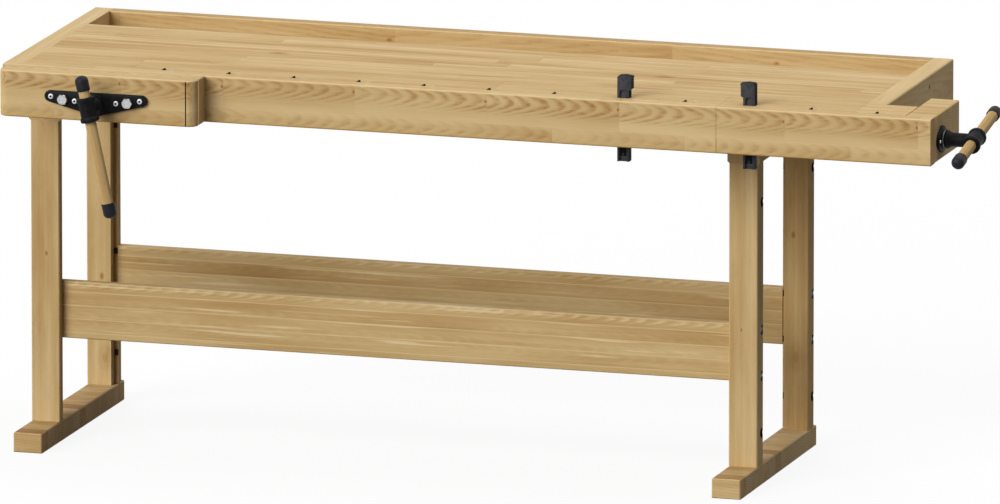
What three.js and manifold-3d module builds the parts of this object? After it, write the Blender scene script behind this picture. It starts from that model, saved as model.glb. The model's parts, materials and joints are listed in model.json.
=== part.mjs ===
// Joiner's workbench with a front vise, a sliding tail vise and two bench dogs.
// Millimetres, +Z up. Inside the bench group X runs from the left end, Y from the apron's face
// towards the back and Z up from the floor. The origin lies under the middle of the whole bench.
import * as THREE from "three";
import { mergeVertices } from "three/addons/utils/BufferGeometryUtils.js";
import Module from "manifold-3d";

const wasm = await Module();
wasm.setup();

// Worktop frame
const topHeight = 860;
const frameDepth = 100;
const benchLength = 1922;
const benchDepth = 640;
const endCapWidth = 43;
const apronThickness = 32;
const dogStripWidth = 129;
const slabWidth = 331;
const slabThickness = 40;
const backRailThickness = 32;
const trayDepth = 60;
const trayFloorThickness = 10;
const trayGroove = 6;
const trayRailThickness = 32;
const bearerWidth = 100;
const capBoltRadius = 5;
const capBoltDepth = 25;
const capBoltDrop = 26;
const capBoltInset = 186;

// Dog holes and dogs
const dogHoleLength = 27;
const dogHoleWidth = 21;
const firstHole = 345;
const holePitch = 144.4;
const holeCount = 9;
const tailFirstHole = 49;
const tailHoleCount = 3;
const leftDogHoleIndex = 7;
const rightDogHoleIndex = 0;
const dogClearance = 0.5;
const dogLength = 186;
const dogStandout = 49;
const dogHeadHeight = 29;
const dogOverhang = 6;
const dogHookSlope = 4;
const dogCrown = 2;
const springSlotWidth = 16;
const springSlotDepth = 4;
const springSlotTop = 18;
const springWidth = 14;
const springThickness = 1.2;
const springInset = 12;
const springGap = 0.3;

// Trestles
const legWidth = 63.5;
const legThickness = 43.5;
const frontLegSetback = 191;
const backLegSetback = 575;
const rebateWidth = 9.3;
const footHeight = 43;
const footFront = 64;
const topRailHeight = 60;
const topRailOverhang = 4;
const topRailChamfer = 4;
const rightTrestleInset = 302;

// Stretchers and their fasteners
const stretcherBottom = 224;
const stretcherHeight = 124;
const stretcherThickness = 23;
const boltPitch = 100;
const boltRadius = 4;
const boltHeadRadius = 8;
const boltHeadHeight = 8;
const boltSocketRadius = 3.6;
const boltSocketDepth = 4;
const boltReach = 50;
const fastenerHoleRadius = 10.8;
const boltRecess = 10;
const barrelNutLength = 28;
const barrelNutRecess = 12;
const barrelNutFootRise = 69;
const barrelNutTopDrop = 87;

// Front vise
const jawStart = 11;
const jawLength = 441;
const jawThickness = 64.5;
const jawCornerRadius = 22;
const frontSpindleDrop = 62;
const plateThickness = 8;
const plateHubRadius = 25;
const plateLobeRadius = 12;
const plateLobeSpread = 102;
const plateLobeRise = 13;
const plateBossRadius = 22;
const plateBossHeight = 6;
const guideRodRadius = 9;
const guideRodSpread = 72;
const guideRodRise = 8;
const guideBoltRadius = 12;
const guideBoltHeight = 9;
const nutPlateThickness = 12;
const nutPlateMargin = 26;
const nutBossRadius = 22;
const nutBossLength = 24;
const frontTravel = 120;
const frontReach = 60;
const frontTurn = 12.4;
const frontBarDrop = 82;

// Tail vise
const tailRailLength = 470;
const tailGap = 69;
const endBlockThickness = 63;
const endBlockWidth = 220;
const tailSpindleInset = 80;
const tailSpindleDrop = 56;
const flangeRadius = 29;
const flangeThickness = 10;
const tailNutLength = 35;
const tailNutHeight = 40;
const tailNutFront = 18;
const channelMargin = 4;
const tailRodRadius = 8;
const tailRodDrop = 78;
const tailRodInset = 21;
const tailRodPitch = 45;
const tailRodSeat = 50;
const guideBlockLength = 79;
const guideBlockMargin = 15;
const guideBlockRise = 2;
const tailTravel = 120;
const tailReach = 73;
const tailTurn = -79.5;
const tailBarDrop = -19.5;

// Vise screws and their handles, alike on both vises
const screwRadius = 12;
const thrustRadius = 18;
const thrustLength = 8;
const thrustPocketDepth = 10;
const collarRadius = 20;
const collarLength = 10;
const collarTaper = 3;
const neckRadius = 15;
const sleeveRadius = 17.5;
const sleeveRimRadius = 20;
const sleeveRimLength = 8;
const sleeveLength = 54;
const barRadius = 11.9;
const barClearance = 0.5;
const handleLength = 312;
const capRadius = 14.3;
const capLength = 33;
const capWall = 5;
const capFit = 0.3;
const screwMargin = 14;
const rodEngagement = 30;

// Clearances and finish
const seam = 0.2;
const slideClearance = 0.6;
const boreClearance = 0.6;
const joinOverlap = 1;
const edgeEase = 2;
const roundSides = 24;
const fastenerSides = 16;
const capDomeSteps = 5;
const arcSegments = 8;

// Levels and lines that several pieces share
const frameBottom = topHeight - frameDepth;
const slabBottom = topHeight - slabThickness;
const slabBack = dogStripWidth + slabWidth;
const backRailFront = benchDepth - backRailThickness;
const trayTop = topHeight - trayDepth;
const trayBottom = trayTop - trayFloorThickness;
const rightCapInner = benchLength - endCapWidth;
const rightTrestleStart = benchLength - rightTrestleInset - legWidth;
const endBlockInner = benchLength + tailGap;
const endBlockOuter = endBlockInner + endBlockThickness;
const tailRailStart = endBlockOuter - tailRailLength;
const fixedStripEnd = tailRailStart - slideClearance;
const topRailBottom = frameBottom - topRailHeight;
const viseCentre = jawStart + jawLength / 2;
const frontSpindleHeight = topHeight - frontSpindleDrop;
const guideRodHeight = frontSpindleHeight + guideRodRise;
const tailSpindleHeight = topHeight - tailSpindleDrop;
const tailRodHeight = topHeight - tailRodDrop;
const tailRodLines = [dogStripWidth + tailRodInset, dogStripWidth + tailRodInset + tailRodPitch];
const tailNutStart = benchLength - (endCapWidth + tailNutLength) / 2;
const guideBlockStart = rightCapInner - seam - guideBlockLength;
const jawFace = -slideClearance - jawThickness;
const screwBore = screwRadius + boreClearance;

// Finishes
const wood = (color) => new THREE.MeshStandardMaterial({ color, roughness: 0.6, metalness: 0 });
const metal = (color, roughness) => new THREE.MeshStandardMaterial({ color, roughness, metalness: 0.9 });
const paleBeech = wood(0xd9b986);
const warmBeech = wood(0xcfa972);
const legBeech = wood(0xc9a670);
const blackIron = new THREE.MeshStandardMaterial({ color: 0x1c1c1e, roughness: 0.5, metalness: 0.4 });
const blackPlastic = new THREE.MeshStandardMaterial({ color: 0x222226, roughness: 0.7, metalness: 0 });
const zinc = metal(0xc8cacc, 0.3);
const screwSteel = metal(0x8d9094, 0.35);
const dogSteel = metal(0x3a3d44, 0.5);

// A closed geometry as a solid that can be joined and cut.
function solid(geometry) {
  const bare = geometry.clone();
  bare.deleteAttribute("normal");
  bare.deleteAttribute("uv");
  const merged = mergeVertices(bare, 1e-4);
  const mesh = new wasm.Mesh({
    numProp: 3,
    vertProperties: merged.attributes.position.array,
    triVerts: new Uint32Array(merged.index.array),
  });
  return new wasm.Manifold(mesh);
}

// A solid's faces as a geometry again.
function geometryOf(body) {
  const mesh = body.getMesh();
  const geometry = new THREE.BufferGeometry();
  geometry.setAttribute("position", new THREE.BufferAttribute(mesh.vertProperties, 3));
  geometry.setIndex(new THREE.BufferAttribute(mesh.triVerts, 1));
  geometry.computeVertexNormals();
  return geometry;
}

function join(...geometries) {
  return geometryOf(geometries.map(solid).reduce((whole, piece) => whole.add(piece)));
}

function cut(geometry, ...tools) {
  return geometryOf(tools.map(solid).reduce((rest, tool) => rest.subtract(tool), solid(geometry)));
}

// Closed outline through [x, y, ease] corners. A corner with an ease is cut off by that length.
function outline(corners) {
  const points = [];
  corners.forEach(([x, y, ease = 0], index) => {
    const here = new THREE.Vector2(x, y);
    if (ease === 0) {
      points.push(here);
      return;
    }
    for (const step of [-1, 1]) {
      const [nextX, nextY] = corners.at((index + step) % corners.length);
      const towards = new THREE.Vector2(nextX - x, nextY - y).setLength(ease);
      points.push(here.clone().add(towards));
    }
  });
  return new THREE.Shape(points);
}

// Extrudes a shape along +Z from 0 to length, with both end rims eased.
function extrude(shape, length, rimEase = 0) {
  const geometry = new THREE.ExtrudeGeometry(shape, {
    depth: length - 2 * rimEase,
    bevelEnabled: rimEase > 0,
    bevelThickness: rimEase,
    bevelSize: rimEase,
    bevelOffset: -rimEase,
    bevelSegments: 1,
    curveSegments: arcSegments,
  });
  return geometry.translate(0, 0, rimEase);
}

const axisX = new THREE.Vector3(1, 0, 0);
const axisY = new THREE.Vector3(0, 1, 0);
const axisZ = new THREE.Vector3(0, 0, 1);
const forward = new THREE.Vector3(0, -1, 0);
const lieAlongX = new THREE.Matrix4().makeBasis(axisY, axisZ, axisX);
const lieAlongY = new THREE.Matrix4().makeBasis(axisX, axisZ, forward);

// Board between two X values, with its profile in Y and Z. eases names the eased edges.
function boardAlongX([left, right], [front, back], [bottom, top], eases = {}) {
  const shape = outline([
    [front, bottom, eases.frontBottom],
    [back, bottom, eases.backBottom],
    [back, top, eases.backTop],
    [front, top, eases.frontTop],
  ]);
  return extrude(shape, right - left, eases.ends).applyMatrix4(lieAlongX).translate(left, 0, 0);
}

// Board between two Y values, with its profile in X and Z.
function boardAlongY([left, right], [front, back], [bottom, top], eases = {}) {
  const shape = outline([
    [left, bottom, eases.leftBottom],
    [right, bottom, eases.rightBottom],
    [right, top, eases.rightTop],
    [left, top, eases.leftTop],
  ]);
  return extrude(shape, back - front, eases.ends).applyMatrix4(lieAlongY).translate(0, back, 0);
}

function box([left, right], [front, back], [bottom, top]) {
  const geometry = new THREE.BoxGeometry(right - left, back - front, top - bottom);
  return geometry.translate((left + right) / 2, (front + back) / 2, (bottom + top) / 2);
}

// Round bars between two values along one axis.
function roundAlongX(radius, [left, right], y, z, sides = roundSides) {
  const geometry = new THREE.CylinderGeometry(radius, radius, right - left, sides);
  return geometry.rotateZ(-Math.PI / 2).translate((left + right) / 2, y, z);
}

function roundAlongY(radius, x, [front, back], z, sides = roundSides) {
  const geometry = new THREE.CylinderGeometry(radius, radius, back - front, sides);
  return geometry.translate(x, (front + back) / 2, z);
}

// Turned piece about Y from [radius, height] points, listed from its low end to its high end.
function turned(points, sides = roundSides) {
  return new THREE.LatheGeometry(points.map(([radius, height]) => new THREE.Vector2(radius, height)), sides);
}

function add(group, name, geometry, material) {
  const mesh = new THREE.Mesh(geometry, material);
  mesh.name = name;
  group.add(mesh);
  return mesh;
}

const bench = new THREE.Group();

// Left edges of the dog holes in the fixed strip and in the tail rail
const fixedHoles = Array.from({ length: holeCount }, (_, index) => firstHole + holePitch * index);
const tailHoles = Array.from(
  { length: tailHoleCount },
  (_, index) => tailRailStart + tailFirstHole + holePitch * index,
);

// Slots that the dogs stand in, cut from the front face of the board behind the apron.
function dogSlots(leftEdges) {
  const span = [apronThickness - dogHoleWidth, apronThickness + dogHoleWidth];
  const height = [frameBottom - dogHoleWidth, topHeight + dogHoleWidth];
  return leftEdges.map((edge) => box([edge, edge + dogHoleLength], span, height));
}

// Worktop: apron and dog hole board at the front, slab, sunk tool tray and back rail, end caps
function buildTop() {
  const frameSpan = [frameBottom, topHeight];
  const between = [endCapWidth + seam, rightCapInner - seam];
  const strip = [endCapWidth + seam, fixedStripEnd];
  const guideLines = [viseCentre - guideRodSpread, viseCentre + guideRodSpread];
  const throughStrip = [-dogStripWidth, 2 * dogStripWidth];
  const viseBores = [
    roundAlongY(screwBore, viseCentre, throughStrip, frontSpindleHeight),
    ...guideLines.map((x) => roundAlongY(guideRodRadius + boreClearance, x, throughStrip, guideRodHeight)),
  ];

  const apron = boardAlongX(strip, [0, apronThickness], frameSpan, {
    frontTop: edgeEase,
    frontBottom: edgeEase,
  });
  add(bench, "apron_board", cut(apron, ...viseBores), paleBeech);

  const holeBoard = boardAlongX(strip, [apronThickness + seam, dogStripWidth], frameSpan);
  add(bench, "dog_hole_board", cut(holeBoard, ...viseBores, ...dogSlots(fixedHoles)), paleBeech);

  const slab = boardAlongX(between, [dogStripWidth + seam, slabBack], [slabBottom, topHeight], {
    backTop: edgeEase,
  });
  add(bench, "top_slab", slab, warmBeech);

  const groove = box(
    [0, benchLength],
    [slabBack - trayGroove, backRailFront + trayGroove],
    [trayBottom - seam, trayTop + seam],
  );
  const trayRail = boardAlongX(between, [slabBack - trayRailThickness, slabBack], [
    frameBottom,
    slabBottom - seam,
  ]);
  add(bench, "tray_front_rail", cut(trayRail, groove), warmBeech);

  const backRail = boardAlongX(between, [backRailFront, benchDepth], frameSpan, {
    frontTop: edgeEase,
    backTop: edgeEase,
    backBottom: edgeEase,
  });
  add(bench, "back_rail", cut(backRail, groove), paleBeech);

  const trayFloor = boardAlongX(
    between,
    [slabBack - trayGroove + seam, backRailFront + trayGroove - seam],
    [trayBottom, trayTop],
  );
  add(bench, "tray_floor", trayFloor, warmBeech);

  const capBoltLine = [benchDepth - capBoltInset, topHeight - capBoltDrop];
  const leftCap = boardAlongY([0, endCapWidth], [0, benchDepth], frameSpan, {
    leftTop: edgeEase,
    leftBottom: edgeEase,
    ends: edgeEase,
  });
  const leftBoltHole = roundAlongX(capBoltRadius, [-capBoltDepth, capBoltDepth], ...capBoltLine);
  add(bench, "left_end_cap", cut(leftCap, leftBoltHole), paleBeech);

  const rightCap = boardAlongY(
    [rightCapInner, benchLength],
    [dogStripWidth + slideClearance, benchDepth],
    frameSpan,
    { rightTop: edgeEase, rightBottom: edgeEase, ends: edgeEase },
  );
  const rightBoltHole = roundAlongX(
    capBoltRadius,
    [benchLength - capBoltDepth, benchLength + capBoltDepth],
    ...capBoltLine,
  );
  add(bench, "right_end_cap", cut(rightCap, rightBoltHole, ...tailRodBores()), paleBeech);

  const bearerCentre = rightTrestleStart + legWidth / 2;
  const bearer = boardAlongY(
    [bearerCentre - bearerWidth / 2, bearerCentre + bearerWidth / 2],
    [dogStripWidth + seam, slabBack - trayRailThickness - seam],
    [frameBottom, slabBottom - seam],
  );
  add(bench, "cross_bearer", bearer, warmBeech);
}

// Bores that the tail vise's guide rods slide in
function tailRodBores() {
  const span = [guideBlockStart - guideBlockLength, benchLength + endCapWidth];
  return tailRodLines.map((y) => roundAlongX(tailRodRadius + boreClearance, span, y, tailRodHeight));
}

// One end frame: foot, two legs, top rail and the fasteners in its legs. inner is +1 where the
// bench lies towards +X of the frame, so that the rebates face the other frame.
function buildTrestle(side, start, inner) {
  const trestle = new THREE.Group();
  trestle.position.x = start;
  const outerFace = inner > 0 ? 0 : legWidth;
  const innerFace = legWidth - outerFace;
  const legSpan = [footHeight + seam, topRailBottom - seam];
  const backLegEnd = backLegSetback + legThickness;
  const inwards = (from, to) => [outerFace + inner * from, outerFace + inner * to].sort((a, b) => a - b);

  const foot = boardAlongY([0, legWidth], [footFront, benchDepth], [0, footHeight], {
    leftTop: edgeEase,
    rightTop: edgeEase,
    ends: edgeEase,
  });
  add(trestle, `${side}_foot`, foot, legBeech);

  const topRail = boardAlongY(
    [-topRailOverhang, legWidth + topRailOverhang],
    [frontLegSetback, backLegEnd],
    [topRailBottom, frameBottom - seam],
    { leftBottom: topRailChamfer, rightBottom: topRailChamfer },
  );
  add(trestle, `${side}_top_rail`, topRail, legBeech);

  const stretcherMiddle = stretcherBottom + stretcherHeight / 2;
  const boltHeights = { upper: stretcherMiddle + boltPitch / 2, lower: stretcherMiddle - boltPitch / 2 };
  const nutHeights = { foot: footHeight + barrelNutFootRise, top: topRailBottom - barrelNutTopDrop };
  const nutDepth = barrelNutRecess + barrelNutLength;

  for (const [place, setback] of Object.entries({ front: frontLegSetback, back: backLegSetback })) {
    const legBack = setback + legThickness;
    const fastenerLine = legBack - stretcherThickness / 2;
    const fastener = (radius, span, z) => roundAlongX(radius, span, fastenerLine, z, fastenerSides);
    const rebateSpan = stretcherThickness + seam;
    const rebate = place === "front" ? [legBack - rebateSpan, legBack] : [setback, setback + rebateSpan];
    const seatFace = place === "front" ? legWidth - rebateWidth : legWidth;
    const rebateTool = box(
      inwards(legWidth - rebateWidth, legWidth + rebateWidth),
      place === "front" ? [rebate[0], rebate[1] + legThickness] : [rebate[0] - legThickness, rebate[1]],
      [0, topHeight],
    );
    const legOutline = outline([
      [0, setback, edgeEase],
      [legWidth, setback, edgeEase],
      [legWidth, legBack, edgeEase],
      [0, legBack, edgeEase],
    ]);
    const leg = extrude(legOutline, legSpan[1] - legSpan[0]).translate(0, 0, legSpan[0]);
    const tools = [rebateTool];

    for (const [level, height] of Object.entries(boltHeights)) {
      tools.push(
        fastener(fastenerHoleRadius, inwards(-boltRecess, boltRecess), height),
        fastener(boltRadius + boreClearance, inwards(0, 2 * legWidth), height),
      );
      const headSpan = inwards(boltRecess - seam - boltHeadHeight, boltRecess - seam);
      const head = fastener(boltHeadRadius, headSpan, height);
      const shank = fastener(boltRadius, inwards(boltRecess - joinOverlap, seatFace + boltReach), height);
      const socketEnd = boltRecess - seam - boltHeadHeight + boltSocketDepth;
      const socket = roundAlongX(boltSocketRadius, inwards(-boltRecess, socketEnd), fastenerLine, height, 6);
      add(trestle, `${side}_${place}_${level}_bolt`, cut(join(head, shank), socket), zinc);
    }

    for (const [level, height] of Object.entries(nutHeights)) {
      const hole = inwards(-nutDepth, nutDepth + seam);
      tools.push(fastener(fastenerHoleRadius, hole, height));
      const nutSpan = inwards(barrelNutRecess, nutDepth);
      const nut = fastener(fastenerHoleRadius - boreClearance / 2, nutSpan, height);
      add(trestle, `${side}_${place}_${level}_barrel_nut`, nut, screwSteel);
    }
    add(trestle, `${side}_${place}_leg`, cut(leg, ...tools), legBeech);
  }
  bench.add(trestle);
  return start + innerFace;
}

// Stretchers between the end frames: the front one lies in the legs' rebates, the back one
// butts on the legs' inner faces.
function buildStretchers(leftInner, rightInner) {
  const levels = [stretcherBottom, stretcherBottom + stretcherHeight];
  const eased = { frontTop: edgeEase, backTop: edgeEase, frontBottom: edgeEase, backBottom: edgeEase };
  const middle = stretcherBottom + stretcherHeight / 2;
  const places = { front: [frontLegSetback, rebateWidth], back: [backLegSetback, 0] };
  for (const [place, [setback, entry]] of Object.entries(places)) {
    const back = setback + legThickness;
    const span = [leftInner - entry + seam, rightInner + entry - seam];
    const board = boardAlongX(span, [back - stretcherThickness, back], levels, eased);
    const holeDepth = boltReach + boltRadius;
    const boltLine = back - stretcherThickness / 2;
    const tools = [];
    for (const height of [middle - boltPitch / 2, middle + boltPitch / 2]) {
      for (const end of span) {
        const hole = [end - holeDepth, end + holeDepth];
        tools.push(roundAlongX(boltRadius + boreClearance, hole, boltLine, height, fastenerSides));
      }
    }
    add(bench, `${place}_stretcher`, cut(board, ...tools), warmBeech);
  }
}

// Outline that wraps round circles given as [x, y, radius] in anticlockwise order.
function wrapped(circles) {
  const leaves = circles.map(([x, y, radius], index) => {
    const [nextX, nextY, nextRadius] = circles[(index + 1) % circles.length];
    const distance = Math.hypot(nextX - x, nextY - y);
    return Math.atan2(nextY - y, nextX - x) - Math.acos((radius - nextRadius) / distance);
  });
  const shape = new THREE.Shape();
  circles.forEach(([x, y, radius], index) => {
    shape.absarc(x, y, radius, leaves.at(index - 1), leaves[index], false);
  });
  return shape;
}

// Screw with its T head. The screw lies along Z with its head at +Z, 0 being the face of the
// wood that it passes through. The handle's bar runs along Y.
function screwGeometry(innerEnd, faceThickness, reach) {
  const collarStart = faceThickness + slideClearance;
  const collarEnd = collarStart + collarLength;
  const shaft = turned([
    [0, innerEnd],
    [screwRadius - edgeEase, innerEnd],
    [screwRadius, innerEnd + edgeEase],
    [screwRadius, -thrustLength - slideClearance],
    [thrustRadius, -thrustLength - slideClearance],
    [thrustRadius, -slideClearance],
    [screwRadius, -slideClearance],
    [screwRadius, collarStart],
    [collarRadius, collarStart],
    [collarRadius, collarEnd],
    [neckRadius, collarEnd + collarTaper],
    [neckRadius, reach],
    [0, reach],
  ]).rotateX(Math.PI / 2);
  const half = sleeveLength / 2;
  const rimTaper = sleeveRimRadius - sleeveRadius;
  const sleeve = turned([
    [0, -half],
    [sleeveRimRadius - edgeEase, -half],
    [sleeveRimRadius, edgeEase - half],
    [sleeveRimRadius, sleeveRimLength - half],
    [sleeveRadius, sleeveRimLength + rimTaper - half],
    [sleeveRadius, half - sleeveRimLength - rimTaper],
    [sleeveRimRadius, half - sleeveRimLength],
    [sleeveRimRadius, half - edgeEase],
    [sleeveRimRadius - edgeEase, half],
    [0, half],
  ]).translate(0, 0, reach);
  const bore = new THREE.CylinderGeometry(
    barRadius + barClearance,
    barRadius + barClearance,
    2 * sleeveLength,
    roundSides,
  ).translate(0, 0, reach);
  return cut(join(shaft, sleeve), bore);
}

// Cap for the bar's end that points to +Y: a cup with a domed end.
function handleCap() {
  const bore = barRadius + capFit;
  const domeStart = capLength - capRadius / 2;
  const dome = [];
  for (let step = 0; step <= capDomeSteps; step += 1) {
    const angle = (step / capDomeSteps) * (Math.PI / 2);
    dome.push([capRadius * Math.cos(angle), domeStart + (capLength - domeStart) * Math.sin(angle)]);
  }
  dome[capDomeSteps][0] = 0;
  return turned([[0, capLength - capWall], [bore, capLength - capWall], [bore, 0], [capRadius, 0], ...dome]);
}

// Screw, sliding handle bar and its two end caps. upper and lower name the caps.
function buildScrew({ name, innerEnd, faceThickness, reach, turn, barDrop, upper, lower }) {
  const screw = new THREE.Group();
  screw.rotation.z = THREE.MathUtils.degToRad(turn);
  add(screw, `${name}_spindle`, screwGeometry(innerEnd, faceThickness, reach), blackIron);
  const handle = new THREE.Group();
  handle.position.set(0, -barDrop, reach);
  const barLength = handleLength - 2 * (capWall + capFit);
  const bar = new THREE.CylinderGeometry(barRadius, barRadius, barLength, roundSides);
  add(handle, `${name}_handle_bar`, bar, warmBeech);
  const capStart = handleLength / 2 - capLength;
  add(handle, `${name}_handle_${upper}_cap`, handleCap(), blackPlastic).position.y = capStart;
  const lowerCap = add(handle, `${name}_handle_${lower}_cap`, handleCap(), blackPlastic);
  lowerCap.position.y = -capStart;
  lowerCap.rotation.z = Math.PI;
  screw.add(handle);
  return screw;
}

// Front vise: the wooden jaw, its iron plate, guide rods, nut plate and screw
function buildFrontVise() {
  const throughJaw = [jawFace - jawThickness, jawThickness];
  const jawBack = -slideClearance;
  const jawShape = new THREE.Shape();
  const jawEnd = jawStart + jawLength;
  jawShape.moveTo(jawEnd, jawBack);
  jawShape.lineTo(jawStart, jawBack);
  const cornerLine = jawFace + jawCornerRadius;
  const quarter = Math.PI / 2;
  jawShape.absarc(jawStart + jawCornerRadius, cornerLine, jawCornerRadius, 2 * quarter, 3 * quarter);
  jawShape.absarc(jawEnd - jawCornerRadius, cornerLine, jawCornerRadius, 3 * quarter, 4 * quarter);
  const jaw = extrude(jawShape, frameDepth, edgeEase).translate(0, 0, frameBottom);
  const guideLines = { left: viseCentre - guideRodSpread, right: viseCentre + guideRodSpread };
  const rodBores = Object.values(guideLines).map((x) =>
    roundAlongY(guideRodRadius + boreClearance / 2, x, throughJaw, guideRodHeight),
  );
  const screwBores = [
    roundAlongY(screwBore, viseCentre, throughJaw, frontSpindleHeight),
    roundAlongY(
      thrustRadius + boreClearance,
      viseCentre,
      [jawFace - thrustPocketDepth, jawFace + thrustPocketDepth],
      frontSpindleHeight,
    ),
  ];
  add(bench, "front_jaw", cut(jaw, ...rodBores, ...screwBores), paleBeech);

  const plateBack = jawFace - seam;
  const lobes = [
    [plateLobeSpread, plateLobeRise, plateLobeRadius],
    [-plateLobeSpread, plateLobeRise, plateLobeRadius],
    [0, 0, plateHubRadius],
  ];
  const plate = extrude(wrapped(lobes), plateThickness)
    .applyMatrix4(lieAlongY)
    .translate(viseCentre, plateBack, frontSpindleHeight);
  const plateFront = plateBack - plateThickness;
  const boss = roundAlongY(
    plateBossRadius,
    viseCentre,
    [plateFront - plateBossHeight, plateFront + joinOverlap],
    frontSpindleHeight,
  );
  const plateBore = roundAlongY(screwBore, viseCentre, throughJaw, frontSpindleHeight);
  add(bench, "front_vise_plate", cut(join(plate, boss), plateBore, ...rodBores), blackIron);

  const nutPlateBack = dogStripWidth + seam + nutPlateThickness;
  const rodEnd = nutPlateBack + frontTravel + rodEngagement;
  for (const [side, x] of Object.entries(guideLines)) {
    const rod = roundAlongY(guideRodRadius, x, [plateFront - joinOverlap, rodEnd], guideRodHeight);
    const headSpan = [plateFront - seam - guideBoltHeight, plateFront - seam];
    const head = roundAlongY(guideBoltRadius, x, headSpan, guideRodHeight, 6);
    add(bench, `front_${side}_guide_rod`, join(rod, head), zinc);
  }

  const nutReach = guideRodSpread + nutPlateMargin;
  const nutPlate = box(
    [viseCentre - nutReach, viseCentre + nutReach],
    [dogStripWidth + seam, nutPlateBack],
    [frontSpindleHeight - nutBossRadius, frontSpindleHeight + nutBossRadius],
  );
  const nutBossEnd = nutPlateBack + nutBossLength;
  const nutBossSpan = [nutPlateBack - joinOverlap, nutBossEnd];
  const nutBoss = roundAlongY(nutBossRadius, viseCentre, nutBossSpan, frontSpindleHeight);
  const behind = [0, rodEnd];
  const nutBores = [
    roundAlongY(screwBore, viseCentre, behind, frontSpindleHeight),
    ...Object.values(guideLines).map((x) =>
      roundAlongY(guideRodRadius + boreClearance, x, behind, guideRodHeight),
    ),
  ];
  add(bench, "front_nut_plate", cut(join(nutPlate, nutBoss), ...nutBores), blackIron);

  const frame = new THREE.Group();
  frame.position.set(viseCentre, jawFace, frontSpindleHeight);
  frame.rotation.x = Math.PI / 2;
  frame.add(
    buildScrew({
      name: "front",
      innerEnd: jawFace - nutBossEnd - frontTravel - screwMargin,
      faceThickness: seam + plateThickness + plateBossHeight,
      reach: frontReach,
      turn: frontTurn,
      barDrop: frontBarDrop,
      upper: "upper",
      lower: "lower",
    }),
  );
  bench.add(frame);
}

// Tail vise: an L of apron, dog hole board and end block that slides along the worktop
function buildTailVise() {
  const frameSpan = [frameBottom, topHeight];
  const railFront = boardAlongX([tailRailStart, endBlockOuter], [0, apronThickness], frameSpan, {
    frontTop: edgeEase,
    frontBottom: edgeEase,
  });
  add(bench, "tail_front_board", railFront, paleBeech);

  const nutFace = tailNutStart + tailNutLength;
  const screwEnd = tailNutStart - tailTravel - screwMargin;
  const nutHalf = tailNutHeight / 2;
  const nutSpan = [tailSpindleHeight - nutHalf, tailSpindleHeight + nutHalf];
  const nutFront = tailSpindleInset - tailNutFront;
  const channel = box(
    [screwEnd - screwMargin, endBlockInner + endBlockThickness],
    [nutFront - channelMargin, dogStripWidth + endBlockWidth],
    [nutSpan[0] - channelMargin, nutSpan[1] + channelMargin],
  );
  const holeBoard = boardAlongX(
    [tailRailStart, endBlockInner - seam],
    [apronThickness + seam, dogStripWidth - slideClearance],
    frameSpan,
  );
  add(bench, "tail_dog_board", cut(holeBoard, channel, ...dogSlots(tailHoles)), paleBeech);

  const throughBlock = [endBlockInner - endBlockThickness, endBlockOuter + endBlockThickness];
  const blockSpan = [apronThickness + seam, endBlockWidth];
  const block = boardAlongY([endBlockInner, endBlockOuter], blockSpan, frameSpan, {
    rightTop: edgeEase,
    rightBottom: edgeEase,
    leftTop: edgeEase,
    leftBottom: edgeEase,
  });
  const rodSeatEnd = endBlockInner + tailRodSeat;
  const rodSockets = tailRodLines.map((y) =>
    roundAlongX(tailRodRadius + boreClearance / 2, [rightCapInner, rodSeatEnd + seam], y, tailRodHeight),
  );
  const screwBores = [
    roundAlongX(screwBore, throughBlock, tailSpindleInset, tailSpindleHeight),
    roundAlongX(
      thrustRadius + boreClearance,
      [endBlockOuter - thrustPocketDepth, endBlockOuter + thrustPocketDepth],
      tailSpindleInset,
      tailSpindleHeight,
    ),
  ];
  add(bench, "tail_end_block", cut(block, ...rodSockets, ...screwBores), paleBeech);

  const nut = box([tailNutStart, nutFace], [nutFront, dogStripWidth + slideClearance - seam], nutSpan);
  const nutBore = roundAlongX(screwBore, [screwEnd, endBlockInner], tailSpindleInset, tailSpindleHeight);
  add(bench, "tail_nut_block", cut(nut, nutBore), blackIron);

  const rodStart = guideBlockStart - tailTravel + rodEngagement;
  for (const [index, place] of ["front", "back"].entries()) {
    const rod = roundAlongX(tailRodRadius, [rodStart, rodSeatEnd], tailRodLines[index], tailRodHeight);
    add(bench, `tail_${place}_guide_rod`, rod, screwSteel);
  }
  const guideBlock = box(
    [guideBlockStart, rightCapInner - seam],
    [tailRodLines[0] - guideBlockMargin, tailRodLines[1] + guideBlockMargin],
    [frameBottom + guideBlockRise, slabBottom - seam],
  );
  add(bench, "tail_guide_block", cut(guideBlock, ...tailRodBores()), warmBeech);

  const frame = new THREE.Group();
  frame.position.set(endBlockOuter, tailSpindleInset, tailSpindleHeight);
  frame.quaternion.setFromRotationMatrix(lieAlongX);
  const flange = turned([
    [screwBore, seam],
    [flangeRadius, seam],
    [flangeRadius, flangeThickness - edgeEase],
    [flangeRadius - edgeEase, flangeThickness],
    [screwBore, flangeThickness],
    [screwBore, seam],
  ]).rotateX(Math.PI / 2);
  add(frame, "tail_flange", flange, blackIron);
  frame.add(
    buildScrew({
      name: "tail",
      innerEnd: screwEnd - endBlockOuter,
      faceThickness: flangeThickness,
      reach: tailReach,
      turn: tailTurn,
      barDrop: tailBarDrop,
      upper: "back",
      lower: "front",
    }),
  );
  bench.add(frame);
}

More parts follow.
